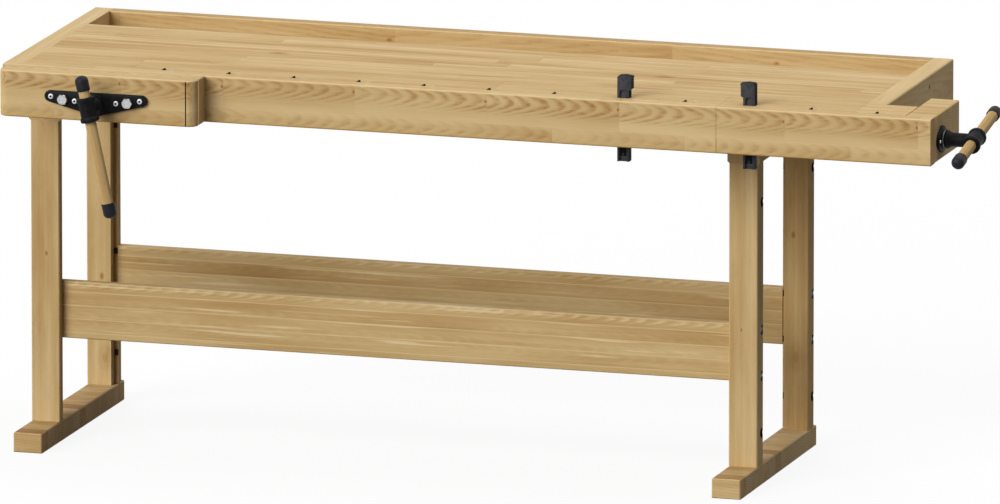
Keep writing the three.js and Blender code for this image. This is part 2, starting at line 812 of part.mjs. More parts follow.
// Steel bench dog with its leaf spring, standing in a hole whose left edge is given. grip is the
// X direction that its head reaches over the work.
function buildDog(side, holeEdge, grip) {
  const dog = new THREE.Group();
  dog.position.set(holeEdge + dogHoleLength / 2, apronThickness + dogHoleWidth / 2, topHeight);
  const halfLength = dogHoleLength / 2 - dogClearance;
  const halfWidth = dogHoleWidth / 2 - dogClearance;
  const bottom = dogStandout - dogLength;
  const headBottom = dogStandout - dogHeadHeight;
  const hookReach = halfLength + dogOverhang;
  const profile = [
    [-halfLength, bottom],
    [halfLength, bottom],
    [halfLength, headBottom - dogHookSlope],
    [hookReach, headBottom],
    [hookReach, dogStandout - dogCrown],
    [dogOverhang / 2, dogStandout],
    [-halfLength, dogStandout - dogCrown],
  ].map(([x, z]) => [grip * x, z]);
  const side2d = outline(grip > 0 ? profile : profile.reverse());
  const body = extrude(side2d, 2 * halfWidth).applyMatrix4(lieAlongY).translate(0, halfWidth, 0);
  const slotHalf = springSlotWidth / 2;
  const slotSpan = [-halfWidth - springSlotDepth, -halfWidth + springSlotDepth];
  const slotArc = springSlotTop - slotHalf;
  const slot = join(
    box([-slotHalf, slotHalf], slotSpan, [bottom - springSlotDepth, slotArc]),
    roundAlongY(slotHalf, 0, slotSpan, slotArc),
  );
  add(dog, `${side}_bench_dog`, cut(body, slot), dogSteel);

  const springEnds = [bottom + springInset, slotArc - springInset];
  const innerFace = -halfWidth + springSlotDepth - springGap;
  const bow = springSlotDepth - springThickness - springGap;
  const middle = (springEnds[0] + springEnds[1]) / 2;
  const springOutline = new THREE.Shape();
  springOutline.moveTo(innerFace, springEnds[0]);
  springOutline.quadraticCurveTo(innerFace - 2 * bow, middle, innerFace, springEnds[1]);
  springOutline.lineTo(innerFace - springThickness, springEnds[1]);
  springOutline.quadraticCurveTo(
    innerFace - springThickness - 2 * bow,
    middle,
    innerFace - springThickness,
    springEnds[0],
  );
  const spring = extrude(springOutline, springWidth).applyMatrix4(lieAlongX);
  spring.translate(-springWidth / 2, 0, 0);
  add(dog, `${side}_dog_spring`, spring, screwSteel);
  bench.add(dog);
}

buildTop();
const leftInner = buildTrestle("left", 0, 1);
const rightInner = buildTrestle("right", rightTrestleStart, -1);
buildStretchers(leftInner, rightInner);
buildFrontVise();
buildTailVise();
buildDog("left", fixedHoles[leftDogHoleIndex], 1);
buildDog("right", tailHoles[rightDogHoleIndex], -1);

// Puts the origin on the floor under the middle of the bench's box.
const extent = new THREE.Box3().setFromObject(bench);
const middle = extent.getCenter(new THREE.Vector3());
bench.position.set(-middle.x, -middle.y, -extent.min.z);

const workbench = new THREE.Group();
workbench.name = "workbench";
workbench.add(bench);

export default workbench;
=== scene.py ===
"""Looks of the joiner's workbench: beech, iron and steel finishes, the fine turned and cast
pieces, the studio and the camera. Metres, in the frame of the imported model."""
import json
import math

import bmesh
import bpy
from mathutils import Matrix, Vector


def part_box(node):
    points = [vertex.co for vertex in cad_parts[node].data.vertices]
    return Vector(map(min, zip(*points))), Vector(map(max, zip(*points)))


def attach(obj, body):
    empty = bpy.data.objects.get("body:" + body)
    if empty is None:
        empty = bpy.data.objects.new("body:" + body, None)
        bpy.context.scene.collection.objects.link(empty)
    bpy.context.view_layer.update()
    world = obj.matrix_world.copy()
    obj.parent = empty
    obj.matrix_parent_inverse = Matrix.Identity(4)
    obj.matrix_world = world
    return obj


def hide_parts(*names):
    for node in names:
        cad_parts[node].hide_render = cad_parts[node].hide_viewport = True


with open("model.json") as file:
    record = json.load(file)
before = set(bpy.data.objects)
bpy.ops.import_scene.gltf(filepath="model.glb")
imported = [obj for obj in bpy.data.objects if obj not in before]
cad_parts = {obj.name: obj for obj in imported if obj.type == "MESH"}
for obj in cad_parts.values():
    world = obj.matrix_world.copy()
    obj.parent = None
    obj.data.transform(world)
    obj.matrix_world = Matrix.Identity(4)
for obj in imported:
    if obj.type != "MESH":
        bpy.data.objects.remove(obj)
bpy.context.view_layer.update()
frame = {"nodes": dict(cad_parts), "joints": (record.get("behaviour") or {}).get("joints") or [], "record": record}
nodes = frame["nodes"]
joints = {joint["name"]: joint for joint in frame["joints"]}
X, Y, Z = 0, 1, 2

# Photograph's frame and viewing angle
IMAGE_SIZE = (1000, 504)
METRES_PER_PIXEL = 0.002128
AZIMUTH = math.radians(17.026)
ELEVATION = math.radians(11.902)
AIM_POINT = Vector((0.0, 0.0, 0.45))
AIM_PIXEL = (517.9, 259.4)
LENS = 850.0
SENSOR = 36.0

# Beech tones, from the dark lines of the figure to the palest wood
BEECH_TONES = (
    (0.0, (0.33, 0.175, 0.062, 1.0)),
    (0.3, (0.455, 0.285, 0.112, 1.0)),
    (0.58, (0.555, 0.388, 0.178, 1.0)),
    (1.0, (0.69, 0.525, 0.295, 1.0)),
)
BEECH_HEART = (0.34, 0.135, 0.05, 1.0)
BEECH_END = (0.4, 0.25, 0.1, 1.0)
# Pale wood by the row joints, and painted highlight on eased edges and along a front face's top edge
BEECH_PALE_AND_HIGHLIGHT = (0.68, 0.5, 0.26, 1.0)
# Painted shade on eased edges that face down and along a front face's bottom edge
BEECH_EDGE_SHADE = (0.5, 0.27, 0.07, 1.0)
GLUE = (0.3, 0.18, 0.075, 1.0)
# Pale glue lines, and painted light on the far walls of the dog holes
PALE_GLUE_AND_PAINTED_LIGHT = (0.72, 0.56, 0.31, 1.0)
# Painted highlight line on the jaw's end by its rounded corner
CORNER_HIGHLIGHT = (0.9, 0.72, 0.44, 1.0)
# Painted shade in holes and in a line at the jaw's corner
PAINTED_SHADE = (0.012, 0.009, 0.006, 1.0)

# Colours of the plastic, the bolts and the dogs
PLASTIC_BLACK = (0.007, 0.008, 0.011, 1.0)
PLASTIC_SCUFFED = (0.015, 0.016, 0.021, 1.0)
BOLT_BLACK = (0.008, 0.008, 0.009, 1.0)
BOLT_GREY = (0.03, 0.03, 0.032, 1.0)
# Painted highlight in the middle of a bolt head
BOLT_PAINTED_HIGHLIGHT = (0.7, 0.71, 0.73, 1.0)
DOG_GREY = (0.036, 0.037, 0.042, 1.0)
DOG_PALE_GREY = (0.062, 0.063, 0.07, 1.0)
DOG_RUBBED = (0.14, 0.14, 0.15, 1.0)
# Painted shade on the dogs' sides
DOG_PAINTED_SHADE = (0.003, 0.003, 0.004, 1.0)

# Studio: how much the world lights the bench, and the floor's tones as seen and as it lights
WHITE = (1.0, 1.0, 1.0, 1.0)
WORLD_LIGHT = 0.06
FLOOR_SEEN = (0.95, 0.95, 0.95, 1.0)
FLOOR_BOUNCE = (0.17, 0.17, 0.17, 1.0)
FLOOR_GLOW = 0.9
FLOOR_HALF = 30.0

# Staves of the boards. Boards that aren't jointed end to end have the length SOLID, and the pith
# of the front boards lies behind their face.
SOLID = 9.0
SOLID_PHASE = 0.3
FACE_ROW = 0.066
FACE_PITH = 0.0375
JAW_CORNER = 0.022
SLAB_STAVES = 9
STRETCHER_ROW = 0.0296
UPPER_STRETCHER_ROW = 0.0217

# Fine marks on the wood. Pairs are distances at which a mark starts to show and shows in full.
ROW_GLUE_FADE = (0.0016, 0.0003)
END_GLUE_FADE = (0.0008, 0.0002)
# Bands of painted highlight and painted shade along a front face's top and bottom edges
UPPER_BAND_FADE = (0.0065, 0.002)
LOWER_BAND_FADE = (0.0055, 0.002)
PALE_ABOVE_JOINT = (0.027, 0.002)
PALE_BELOW_JOINT = (-0.02, -0.002)
# The next five set where painted shade and painted highlight show in the dog holes, the fastener holes and at the
# jaw's corner
HOLE_CORNER_FADE = (0.004, 0.002)
BOARD_END_FADE = (0.001, 0.002)
BORE_FADE = (0.0006, 0.0001)
SHADE_LINE_FADE = (0.0016, 0.001)
CORNER_HIGHLIGHT_FADE = (0.0038, 0.002)
PIP_PLACE = 0.991
PIP_LENGTH = 0.0028
PIP_RISE = -0.002
PIP_WIDTH = 0.0034
RING_SHAKE = 0.005

# Sizes of the vise screws and their handles, as on the solids that they stand for
ROUND_SIDES = 48
SCREW_RADIUS = 0.012
THREAD_DEPTH = 0.0017
THREAD_LEAD = 0.006
THRUST_RADIUS = 0.018
THRUST_LENGTH = 0.008
RUNNING_GAP = 0.0006
SHAFT_OVERLAP = 0.002
COLLAR_RADIUS = 0.02
COLLAR_LENGTH = 0.01
TURNED_EASE = 0.0015
NECK_RADIUS = 0.015
NECK_FILLET = 0.005
SLEEVE_RADIUS = 0.0175
SLEEVE_RIM_RADIUS = 0.0202
SLEEVE_RIM_LENGTH = 0.0075
SLEEVE_FACE_RADIUS = 0.0182
SLEEVE_FLARE = 0.004
SLEEVE_LENGTH = 0.0535
HEAD_VOXEL = 0.0009
BAR_RADIUS = 0.0119
BORE_RADIUS = 0.0124
BORE_REACH = 0.05
HANDLE_LENGTH = 0.312
CAP_RADIUS = 0.0143
CAP_LENGTH = 0.033
CAP_WALL = 0.0053
CAP_BORE = 0.0122
CAP_EASE = 0.0007
CAP_DOME = 0.01144
CAP_GROOVES = (0.0035, 0.0065)
GROOVE_HALF = 0.0006
GROOVE_DEPTH = 0.0005

# Sizes of the front vise's plate and its guide rods. An edge's profile is (inset, drop) pairs.
SEAT_GAP = 0.0002
SCREW_BORE = 0.0126
GUIDE_ROD_RADIUS = 0.009
GUIDE_ROD_SINK = 0.001
GUIDE_BOLT_RADIUS = 0.012
GUIDE_BOLT_HEIGHT = 0.009
PLATE_THICKNESS = 0.0082
PLATE_EDGE = ((0.0, 0.0018), (0.0004, 0.0006), (0.0016, 0.0))
PLATE_HUB_RADIUS = 0.025
PLATE_LOBE_RADIUS = 0.012
PLATE_LOBE_SPREAD = 0.102
PLATE_LOBE_RISE = 0.013
PLATE_BOSS_RADIUS = 0.022
BOSS_SINK = 0.002
BOSS_FILLET = 0.003
BOSS_FILLET_DIP = 0.0008
BOSS_EASE = 0.0012
PLATE_SCREW = {"radius": 0.0062, "height": 0.0034, "socket": 0.0029}
PLATE_SCREW_PLACES = {"inner": (0.046, 0.0055), "outer": (0.099, 0.013)}

# Sizes of the tail screw's flange and washer
FLANGE_RADIUS = 0.029
FLANGE_EAR = 0.036
FLANGE_DIP = 0.004
FLANGE_EDGE = ((0.0, 0.0015), (0.0005, 0.0005), (0.0018, 0.0))
FLANGE_BREAK = 0.0003
FLANGE_BOSS_HEIGHT = 0.003
FLANGE_BOSS_FOOT = 0.0215
FLANGE_BOSS_RADIUS = 0.0205
WASHER_RADIUS = 0.0188
WASHER_EASE = 0.0004
WASHER_SINK = 0.0012
WASHER_GAP = 0.0001
FLANGE_SCREW = {"radius": 0.0034, "height": 0.002, "socket": 0.0015}
FLANGE_SCREW_SPREAD = 0.028

# Sizes of the dogs and of the legs' fastener holes
DOG_HALF_LENGTH = 0.013
DOG_HALF_WIDTH = 0.01
DOG_LENGTH = 0.186
DOG_HEAD_HEIGHT = 0.029
DOG_OVERHANG = 0.006
DOG_SHOULDER = 0.004
DOG_CROWN = 0.002
DOG_BACK_EASE = 0.003
DOG_EASE = 0.0007
DOG_TEETH = 6
DOG_TOOTH_DEPTH = 0.0013
DOG_SLOT_HALF = 0.008
DOG_SLOT_DEPTH = 0.004
DOG_SLOT_TOP = 0.031
SLOT_CUT = 0.01
SPRING_THICKNESS = 0.0012
RIVET_RADIUS = 0.0024
RIVET_HEIGHT = 0.0016
RIVET_LEVEL = 0.016
FASTENER_HOLE_RADIUS = 0.0108


def low(node):
    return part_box(node)[0]


def high(node):
    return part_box(node)[1]


class Shader:
    """Node tree of a new material, or of a world, with short calls for its nodes."""

    def __init__(self, name, owners=bpy.data.materials):
        self.owner = owners.new(name)
        self.owner.use_nodes = True
        self.tree = self.owner.node_tree
        self.tree.nodes.clear()

    def feed(self, socket, value):
        if isinstance(value, bpy.types.NodeSocket):
            self.tree.links.new(value, socket)
        else:
            socket.default_value = value

    def add(self, kind, inputs=None, **settings):
        node = self.tree.nodes.new(kind)
        for key, value in settings.items():
            setattr(node, key, value)
        for key, value in (inputs or {}).items():
            self.feed(node.inputs[key], value)
        return node

    def math(self, operation, *values):
        node = self.add("ShaderNodeMath", operation=operation)
        for socket, value in zip(node.inputs, values):
            self.feed(socket, value)
        return node.outputs[0]

    def chain(self, operation, values):
        result = values[0]
        for value in values[1:]:
            result = self.math(operation, result, value)
        return result

    def plus(self, *values):
        return self.chain("ADD", values)

    def times(self, *values):
        return self.chain("MULTIPLY", values)

    def minus(self, first, second):
        return self.math("SUBTRACT", first, second)

    def squares(self, first, second):
        return self.plus(self.times(first, first), self.times(second, second))

    def smooth(self, value, low_end, high_end, start=0.0, end=1.0):
        inputs = {"Value": value, "From Min": low_end, "From Max": high_end, "To Min": start,
                  "To Max": end}
        return self.add("ShaderNodeMapRange", inputs, interpolation_type="SMOOTHSTEP").outputs[0]

    def mix(self, factor, first, second):
        """Blend of two colours, by the colour sockets among the node's many."""
        return self.add("ShaderNodeMix", {0: factor, 6: first, 7: second}, data_type="RGBA").outputs[2]

    def ramp(self, value, stops):
        node = self.add("ShaderNodeValToRGB", {"Fac": value})
        elements = node.color_ramp.elements
        while len(elements) < len(stops):
            elements.new(1.0)
        for element, (position, colour) in zip(elements, stops):
            element.position = position
            element.color = colour
        return node.outputs["Color"]

    def combine(self, x, y, z):
        return self.add("ShaderNodeCombineXYZ", {"X": x, "Y": y, "Z": z}).outputs[0]

    def noise(self, vector, scale, detail=2.0, roughness=0.5):
        inputs = {"Vector": vector, "Scale": scale, "Detail": detail, "Roughness": roughness}
        return self.add("ShaderNodeTexNoise", inputs).outputs["Fac"]

    def random(self, vector):
        node = self.add("ShaderNodeTexWhiteNoise", {"Vector": vector}, noise_dimensions="3D")
        return self.add("ShaderNodeSeparateColor", {"Color": node.outputs["Color"]}).outputs

    def place(self):
        return self.add("ShaderNodeTexCoord").outputs["Object"]

    def axes(self, output="Object"):
        coordinates = self.add("ShaderNodeTexCoord").outputs[output]
        return self.add("ShaderNodeSeparateXYZ", {"Vector": coordinates}).outputs

    def nearest(self, value, places):
        """Distance from the nearest of some places on an axis."""
        gaps = [self.math("ABSOLUTE", self.minus(value, place)) for place in places]
        return self.chain("MINIMUM", gaps)

    def flatness(self, normal):
        """1 on faces square to an axis, less on eased edges."""
        return self.chain("MAXIMUM", [self.math("ABSOLUTE", normal[axis]) for axis in (X, Y, Z)])

    def bump(self, height, strength, distance):
        inputs = {"Height": height, "Strength": strength, "Distance": distance}
        return self.add("ShaderNodeBump", inputs).outputs[0]

    def surface(self, **inputs):
        shader = self.add("ShaderNodeBsdfPrincipled")
        for key, value in inputs.items():
            self.feed(shader.inputs[key.replace("_", " ")], value)
        self.add("ShaderNodeOutputMaterial", {"Surface": shader.outputs[0]})
        return self.owner

    def seen(self):
        """1 for rays from the camera, from reflections and through glass, 0 for rays that light."""
        rays = self.add("ShaderNodeLightPath").outputs
        kinds = ("Is Camera Ray", "Is Glossy Ray", "Is Transmission Ray")
        return self.chain("MAXIMUM", [rays[kind] for kind in kinds])


def beech(name, grain, across, row_start, row_width, stave_length, pith, seed=1.0, phase=None,
          row_shift=0.0, spread=0.9, lift=0.0, ring=0.0055, taper=0.012, figure=0.1, feather=None,
          faint=0.0, streaks=0.6, stave_tone=0.2, cloudiness=0.7, stain=0.3, pip=0.0, pale_lines=0.0,
          glue=0.4, glue_colour=GLUE, lightness=0.58, top_painted_light=0.0, edge_wear_and_painted_light=None, dark_row=None,
          knots=(), holes=None, bores=None, corner_lines=None):
    """Glued beech. grain and across are axis indices: staves run along grain and lie side by side
    along across. pith is the coordinate, on the third axis, of the trunk's middle, so that the
    growth rings cut each face as they would in solid timber. feather is the row of staves whose
    rings show as soft arcs; the other rows show them as much as faint says. dark_row is a row and
    how much darker it is. A knot is (place across, place along, size, strength)."""
    n = Shader(name)
    place = n.axes()
    normal = n.axes("Normal")
    along, side, thick = place[grain], place[across], place[3 - grain - across]

    # Which stave a point lies in, and where in it
    rows = n.math("DIVIDE", n.minus(side, row_start), row_width)
    row = n.math("FLOOR", rows)
    if phase is None:
        offset = n.times(n.random(n.combine(row, seed, 0.5))[0], 9.0)
    else:
        offset = n.plus(n.times(row, row_shift), phase)
    runs = n.plus(n.math("DIVIDE", along, stave_length), offset)
    stave = n.math("FLOOR", runs)
    chance = n.random(n.combine(row, stave, seed))
    in_row = n.minus(n.minus(rows, row), 0.5)
    in_run = n.minus(runs, stave)
    shifted = n.plus(along, n.times(chance[1], 7.0))

    def grain_noise(along_scale, cross_scale, detail, roughness=0.55):
        sideways = (n.times(side, cross_scale), n.times(thick, cross_scale))
        return n.noise(n.combine(n.times(shifted, along_scale), *sideways), 1.0, detail, roughness)

    def spot(along_place, side_place, length, width):
        along_gap = n.times(n.minus(along, along_place), 1 / length)
        side_gap = n.times(n.minus(side, side_place), 1 / width)
        return n.squares(along_gap, side_gap)

    # Growth rings round a slightly tapering trunk, shaken by slow noise
    shift = n.plus(n.times(n.minus(chance[0], 0.5), spread), lift)
    from_pith = n.times(n.minus(in_row, shift), row_width)
    to_middle = n.minus(thick, pith)
    trunk = n.math("SQRT", n.squares(from_pith, to_middle))
    slow = grain_noise(4.5, 22.0, 2.0)
    uneven = n.noise(n.combine(n.times(shifted, 7.0), row, seed), 1.0, 2.0)
    shaken = (n.times(slow, RING_SHAKE), n.times(uneven, RING_SHAKE))
    radius = n.plus(trunk, n.times(shifted, taper), *shaken)
    turn = n.math("FRACT", n.math("DIVIDE", radius, ring))
    arc = n.times(n.smooth(turn, 0.15, 0.72), n.smooth(turn, 0.72, 1.0, 1.0, 0.0))
    blotch = n.smooth(grain_noise(40.0, 130.0, 3.0, 0.65), 0.34, 0.66, 0.4, 1.3)
    rings = n.times(arc, blotch, n.smooth(slow, 0.3, 0.62, 0.4, 1.0))
    in_feather = 0.0
    if feather is not None:
        in_feather = n.math("COMPARE", row, feather, 0.4)
        near = n.smooth(n.math("ABSOLUTE", from_pith), row_width * 0.5, row_width * 0.16, 0.05, 1.0)
        rings = n.times(rings, near, n.plus(n.times(in_feather, 1.0 - faint), faint))

    # Straight grain, broad clouds, fibres and the short dark flecks of beech, and painted light that makes faces
    # which look up lighter or darker by a set amount
    streak = grain_noise(1.3, 70.0, 4.0, 0.6)
    cloud = grain_noise(2.4, 14.0, 2.0)
    fibre = grain_noise(28.0, 900.0, 2.0, 0.6)
    flecks = n.smooth(grain_noise(190.0, 1300.0, 1.0), 0.66, 0.74)
    tone = n.plus(
        lightness,
        n.times(n.minus(chance[2], 0.5), stave_tone),
        n.times(n.minus(streak, 0.5), 1.1 * streaks),
        n.times(n.minus(cloud, 0.5), cloudiness),
        n.times(n.minus(fibre, 0.5), 0.3),
        n.times(n.minus(0.5, in_run), 0.08),
        n.times(rings, -figure),
        n.times(n.smooth(normal[Z], 0.5, 0.9), top_painted_light),
    )
    if dark_row is not None:
        which_row, darker = dark_row
        tone = n.minus(tone, n.times(n.math("COMPARE", row, which_row, 0.4), darker))
    if pale_lines:
        line = n.smooth(grain_noise(3.5, 110.0, 1.0), 0.6, 0.74)
        tone = n.plus(tone, n.times(line, pale_lines))
    for side_place, along_place, size, strength in knots:
        halo = n.smooth(spot(along_place, side_place, size * 2.6, size * 1.5), 1.6, 0.0)
        tone = n.minus(tone, n.times(halo, strength * 0.5))
    colour = n.ramp(tone, BEECH_TONES)
    colour = n.mix(n.times(flecks, 0.2), colour, BEECH_HEART)
    if figure > 0:
        colour = n.mix(n.times(rings, figure * 0.3), colour, BEECH_HEART)

    # Reddish heart stain here and there, knots, and the pip of colour at a stave's end
    red = n.smooth(grain_noise(2.0, 34.0, 2.0), 0.62, 0.8)
    colour = n.mix(n.times(red, stain), colour, BEECH_HEART)
    for side_place, along_place, size, strength in knots:
        heart = n.smooth(spot(along_place, side_place, size, size * 0.55), 1.4, 0.2)
        colour = n.mix(n.times(heart, strength), colour, BEECH_HEART)
    if pip:
        end_gap = n.times(n.minus(in_run, PIP_PLACE), stave_length / PIP_LENGTH)
        side_gap = n.times(n.minus(from_pith, PIP_RISE), 1 / PIP_WIDTH)
        mark = n.smooth(n.squares(end_gap, side_gap), 2.0, 0.1)
        colour = n.mix(n.times(mark, in_feather, pip), colour, BEECH_HEART)

    # Glue lines between the staves
    row_edge = n.times(n.minus(0.5, n.math("ABSOLUTE", in_row)), row_width)
    run_edge = n.times(in_run, stave_length)
    row_line = n.smooth(row_edge, *ROW_GLUE_FADE)
    run_line = n.smooth(run_edge, *END_GLUE_FADE)
    colour = n.mix(n.times(row_line, glue), colour, glue_colour)
    colour = n.mix(n.times(run_line, glue), colour, GLUE)

    # End grain is darker and shows the rings in section
    end_face = n.smooth(n.math("ABSOLUTE", normal[grain]), 0.9, 0.98)
    section = n.smooth(turn, 0.3, 0.95, 0.25, 0.7)
    colour = n.mix(n.times(end_face, section), colour, BEECH_END)
    # Painted shade on the side walls of the dog holes and in the far wall's corner by the left wall, and painted
    # light on the rest of the far walls
    if holes is not None:
        hole_starts, board_ends = holes
        in_hole = n.times(end_face, n.smooth(n.nearest(place[X], board_ends), *BOARD_END_FADE))
        colour = n.mix(in_hole, colour, PAINTED_SHADE)
        far_wall = n.smooth(normal[Y], -0.5, -0.7)
        colour = n.mix(far_wall, colour, PALE_GLUE_AND_PAINTED_LIGHT)
        corner = n.smooth(n.nearest(place[X], hole_starts), *HOLE_CORNER_FADE)
        colour = n.mix(n.times(corner, far_wall), colour, PAINTED_SHADE)

    # Eased edges are painted pale where they face up, partly rubbed wear in patches and partly painted highlight,
    # and warm brown where they face down, as painted shade
    eased_edge = n.smooth(n.flatness(normal), 0.9, 0.75)
    patches = n.smooth(n.noise(n.combine(along, side, thick), 60.0, 3.0, 0.6), 0.2, 0.8, 0.35, 0.8)
    edge_colour = n.mix(n.smooth(normal[Z], -0.3, 0.1), BEECH_EDGE_SHADE, BEECH_PALE_AND_HIGHLIGHT)
    colour = n.mix(n.times(eased_edge, patches), colour, edge_colour)
    if edge_wear_and_painted_light is not None:
        bottom_edge, top_edge = edge_wear_and_painted_light
        on_face = n.smooth(normal[Y], -0.4, -0.6)
        # Painted highlight in a band along the front face's top edge and painted shade in a band along its bottom
        # edge
        upper_band = n.times(n.smooth(n.minus(top_edge, place[Z]), *UPPER_BAND_FADE), on_face)
        colour = n.mix(n.times(upper_band, 0.55), colour, BEECH_PALE_AND_HIGHLIGHT)
        lower_band = n.times(n.smooth(n.minus(place[Z], bottom_edge), *LOWER_BAND_FADE), on_face)
        colour = n.mix(n.times(lower_band, 0.65), colour, BEECH_EDGE_SHADE)

        # The wood pales towards the glue line between its rows
        above_joint = n.minus(place[Z], row_start)
        pale_above = n.smooth(above_joint, *PALE_ABOVE_JOINT)
        pale_below = n.smooth(above_joint, *PALE_BELOW_JOINT)
        paleness = n.smooth(cloud, 0.3, 0.7, 0.32, 0.58)
        colour = n.mix(n.times(pale_above, pale_below, on_face, paleness), colour, BEECH_PALE_AND_HIGHLIGHT)
    # Painted shade inside the legs' fastener holes
    if bores is not None:
        bore_lines, bore_levels, bore_radius, outwards = bores
        line_gap = n.nearest(place[Y], bore_lines)
        level_gap = n.nearest(place[Z], bore_levels)
        from_axis = n.math("SQRT", n.squares(line_gap, level_gap))
        inside = n.smooth(n.minus(from_axis, bore_radius), *BORE_FADE)
        outer = n.smooth(n.times(normal[X], outwards), -0.6, -0.4)
        colour = n.mix(n.times(inside, outer, 0.93), colour, PAINTED_SHADE)
    # Painted shade line on the jaw's front and painted highlight line on its end, where the rounded corner begins
    if corner_lines is not None:
        corner_x, corner_y = corner_lines
        level_face = n.smooth(n.math("ABSOLUTE", normal[Z]), 0.5, 0.3)
        shade_line = n.smooth(n.nearest(place[X], [corner_x]), *SHADE_LINE_FADE)
        on_front = n.smooth(normal[Y], -0.8, -0.95)
        colour = n.mix(n.times(shade_line, level_face, on_front), colour, PAINTED_SHADE)
        bright = n.smooth(n.nearest(place[Y], [corner_y]), *CORNER_HIGHLIGHT_FADE)
        on_end = n.smooth(normal[X], 0.8, 0.95)
        colour = n.mix(n.times(bright, level_face, on_end), colour, CORNER_HIGHLIGHT)

    # Fibres and glue lines can be felt, and the grain is rougher than the worn edges
    height = n.minus(n.plus(n.times(fibre, 0.6), n.times(rings, -0.35)), n.times(run_line, 0.8))
    rough = n.minus(n.plus(0.55, n.times(rings, 0.08), n.times(streak, 0.12)), n.times(eased_edge, 0.12))
    return n.surface(Base_Color=colour, Roughness=rough, Specular_IOR_Level=0.08,
                     Normal=n.bump(height, 0.22, 0.0004))


def cast_iron(name, base=0.004, roughness=0.5):
    """Black lacquer over a cast skin: fine grit, soft mottling and slightly duller patches."""
    n = Shader(name)
    grit = n.noise(n.place(), 1500.0, 2.0, 0.6)
    mottle = n.noise(n.place(), 90.0, 4.0, 0.6)
    dark = (base, base, base * 1.1, 1.0)
    light = (base * 3.0, base * 3.0, base * 3.3, 1.0)
    colour = n.mix(n.smooth(mottle, 0.35, 0.75), dark, light)
    rough = n.plus(roughness, n.times(n.minus(mottle, 0.5), 0.3))
    return n.surface(Base_Color=colour, Roughness=rough, Specular_IOR_Level=0.07,
                     Normal=n.bump(n.plus(grit, mottle), 0.25, 0.0002))


def moulded_plastic(name):
    """Black moulded caps with a fine spark-eroded skin and scuffs."""
    n = Shader(name)
    skin_grain = n.noise(n.place(), 2200.0, 1.0, 0.5)
    scuff = n.smooth(n.noise(n.place(), 130.0, 5.0, 0.7), 0.58, 0.75)
    colour = n.mix(scuff, PLASTIC_BLACK, PLASTIC_SCUFFED)
    rough = n.plus(0.5, n.times(scuff, 0.2))
    return n.surface(Base_Color=colour, Roughness=rough, Specular_IOR_Level=0.17,
                     Normal=n.bump(skin_grain, 0.18, 0.00015))


def plated_steel(name, bright, roughness, stretch=(1.0, 1.0, 1.0)):
    """Zinc or drawn steel: fine drawn lines, cloudy plating and slightly duller patches."""
    n = Shader(name)
    place = n.axes()
    drawn = (n.times(place[axis], 900.0 * stretch[axis]) for axis in (X, Y, Z))
    lines = n.noise(n.combine(*drawn), 1.0, 3.0, 0.6)
    cloud = n.noise(n.combine(*place), 160.0, 3.0, 0.6)
    light = (bright, bright * 1.005, bright * 1.01, 1.0)
    dull = (bright * 0.66, bright * 0.67, bright * 0.69, 1.0)
    colour = n.mix(n.smooth(cloud, 0.35, 0.75), light, dull)
    rough = n.plus(roughness, n.times(n.minus(lines, 0.5), 0.25))
    return n.surface(Base_Color=colour, Metallic=1.0, Roughness=rough,
                     Normal=n.bump(lines, 0.12, 0.0001))


def recessed_bolt(name):
    """Near-black bolt whose middle is painted bright as a painted highlight. Generated places run from 0 to 1 over
    it.
    """
    n = Shader(name)
    place = n.axes("Generated")
    from_axis = n.math("SQRT", n.squares(n.minus(place[Y], 0.5), n.minus(place[Z], 0.5)))
    cloud = n.noise(n.place(), 300.0, 3.0, 0.6)
    dark = n.mix(cloud, BOLT_BLACK, BOLT_GREY)
    # Painted highlight in the middle of the head
    colour = n.mix(n.smooth(from_axis, 0.24, 0.19), dark, BOLT_PAINTED_HIGHLIGHT)
    return n.surface(Base_Color=colour, Metallic=0.6, Roughness=n.plus(0.35, n.times(cloud, 0.2)),
                     Normal=n.bump(cloud, 0.1, 0.0001))


def blued_steel(name):
    """Dark grey steel of the dogs, with edges rubbed bright in places. Only the front, which faces
    along the dog's own Z, keeps the steel's grey; the other sides are painted near black as painted shade."""
    n = Shader(name)
    cloud = n.noise(n.place(), 70.0, 4.0, 0.6)
    grit = n.noise(n.place(), 1200.0, 2.0, 0.6)
    normal = n.axes("Normal")
    edge_wear_and_painted_light = n.times(n.smooth(n.flatness(normal), 0.93, 0.75), n.smooth(cloud, 0.45, 0.7))
    colour = n.mix(n.smooth(cloud, 0.3, 0.75), DOG_GREY, DOG_PALE_GREY)
    colour = n.mix(n.times(edge_wear_and_painted_light, 0.35), colour, DOG_RUBBED)
    # Painted shade: every side but the front is made near black
    colour = n.mix(n.smooth(normal[Z], 0.7, 0.2), colour, DOG_PAINTED_SHADE)
    rough = n.plus(0.42, n.times(cloud, 0.2))
    return n.surface(Base_Color=colour, Roughness=rough, Specular_IOR_Level=0.05,
                     Normal=n.bump(grit, 0.15, 0.00015))


def dress(piece, material):
    piece.data.materials.clear()
    piece.data.materials.append(material)


def leg_bores(side, outwards):
    """Lines, levels and radius of the fastener holes in one side's legs, and which way they open."""

    def middle(node):
        return (low(node) + high(node)) / 2

    lines = [middle(f"{side}_{place}_upper_bolt").y for place in ("front", "back")]
    fasteners = ("upper_bolt", "lower_bolt", "foot_barrel_nut", "top_barrel_nut")
    levels = [middle(f"{side}_front_{fastener}").z for fastener in fasteners]
    return lines, levels, FASTENER_HOLE_RADIUS, outwards


